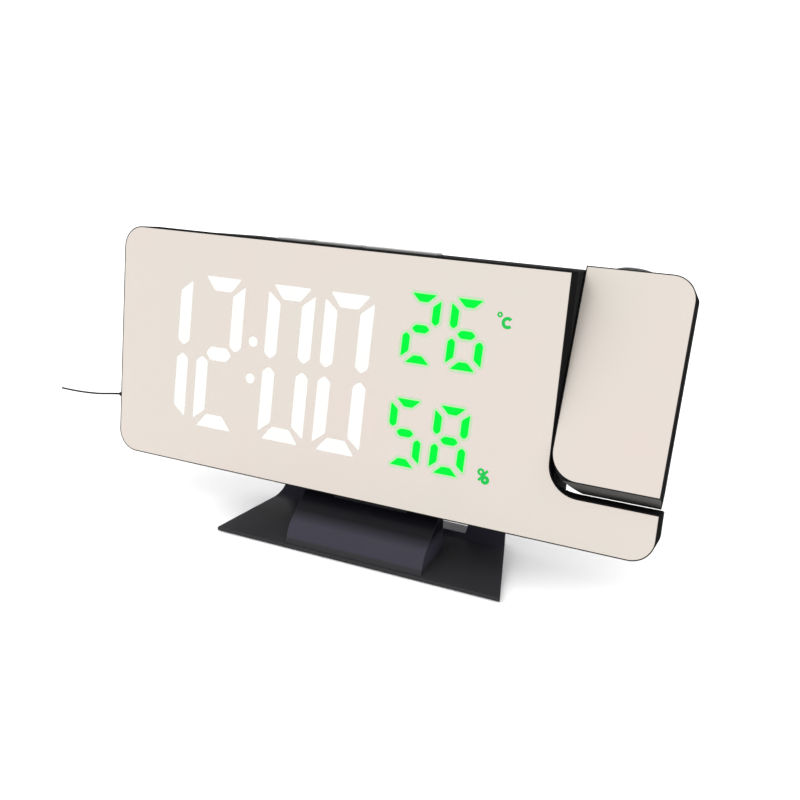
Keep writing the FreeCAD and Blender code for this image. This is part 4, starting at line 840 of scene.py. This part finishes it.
class CLOCK_OT_studio(Operator):
    """Set the pale floor, the soft light and the camera"""

    bl_idname = "clock.studio"
    bl_label = "Studio"

    def execute(self, context):
        scene = context.scene
        look = scene.clock_studio
        half = look.floor_size / 2
        mesh = bpy.data.meshes.new("floor")
        corners = [(-half, -half, 0), (half, -half, 0), (half, half, 0), (-half, half, 0)]
        mesh.from_pydata(corners, [], [(0, 1, 2, 3)])
        floor = bpy.data.objects.new("floor", mesh)
        scene.collection.objects.link(floor)
        pale, shader = new_finish("pale_floor", look.floor_colour, roughness=0.7, specular=0.2)
        vary_roughness(pale, shader, size=0.2, low=0.65, high=0.75)
        mesh.materials.append(pale)

        world = bpy.data.worlds.new("studio")
        world.use_nodes = True
        sky = world.node_tree.nodes["Background"]
        sky.inputs["Color"].default_value = (1.0, 1.0, 1.0, 1.0)
        sky.inputs["Strength"].default_value = look.sky_strength
        scene.world = world
        scene.view_settings.view_transform = "Standard"

        area_light("key_softbox", spot=(-0.5, -0.9, 1.1), size=(0.9, 0.7), power=3.0)
        area_light("side_softbox", spot=(1.1, -0.3, 0.8), size=(0.7, 0.5), power=1.5)
        area_light("back_softbox", spot=(0.1, 0.9, 0.9), size=(0.8, 0.4), power=1.5)

        eye = bpy.data.cameras.new("camera")
        eye.lens = CAMERA_LENS
        eye.clip_start = CAMERA_NEAR
        camera = bpy.data.objects.new("camera", eye)
        camera.location = CAMERA_SPOT
        camera.rotation_euler = Euler([math.radians(turn) for turn in CAMERA_TURN])
        scene.collection.objects.link(camera)
        scene.camera = camera
        return {"FINISHED"}


class CLOCK_PT_pieces(Panel):
    """The clock's pieces and their looks"""

    bl_idname = "CLOCK_PT_pieces"
    bl_label = "Projection Clock"
    bl_space_type = "VIEW_3D"
    bl_region_type = "UI"
    bl_category = "Clock"

    def draw(self, context):
        for name, group in LOOKS:
            box = self.layout.box()
            box.label(text=group.__doc__)
            look = getattr(context.scene, name)
            for prop in group.__annotations__:
                box.prop(look, prop)
        for operator in OPERATORS:
            self.layout.operator(operator.bl_idname)


LOOKS = (
    ("clock_mirror", MirrorLook),
    ("clock_display", DisplayLook),
    ("clock_housing", HousingLook),
    ("clock_wire", WireLook),
    ("clock_studio", StudioLook),
)
OPERATORS = (
    CLOCK_OT_studio,
    CLOCK_OT_aerial,
    CLOCK_OT_mirrors,
    CLOCK_OT_display,
    CLOCK_OT_housing,
    CLOCK_OT_projector,
    CLOCK_OT_stand,
    CLOCK_OT_works,
)


def register():
    for name, group in LOOKS:
        bpy.utils.register_class(group)
        setattr(bpy.types.Scene, name, PointerProperty(type=group))
    for operator in OPERATORS:
        bpy.utils.register_class(operator)
    bpy.utils.register_class(CLOCK_PT_pieces)


def unregister():
    bpy.utils.unregister_class(CLOCK_PT_pieces)
    for operator in reversed(OPERATORS):
        bpy.utils.unregister_class(operator)
    for name, group in reversed(LOOKS):
        delattr(bpy.types.Scene, name)
        bpy.utils.unregister_class(group)


def main():
    register()
    bpy.ops.clock.studio()
    bpy.ops.clock.aerial()
    bpy.ops.clock.mirrors()
    bpy.ops.clock.display()
    bpy.ops.clock.housing()
    bpy.ops.clock.projector()
    bpy.ops.clock.stand()
    bpy.ops.clock.works()


if __name__ == "__main__":
    main()
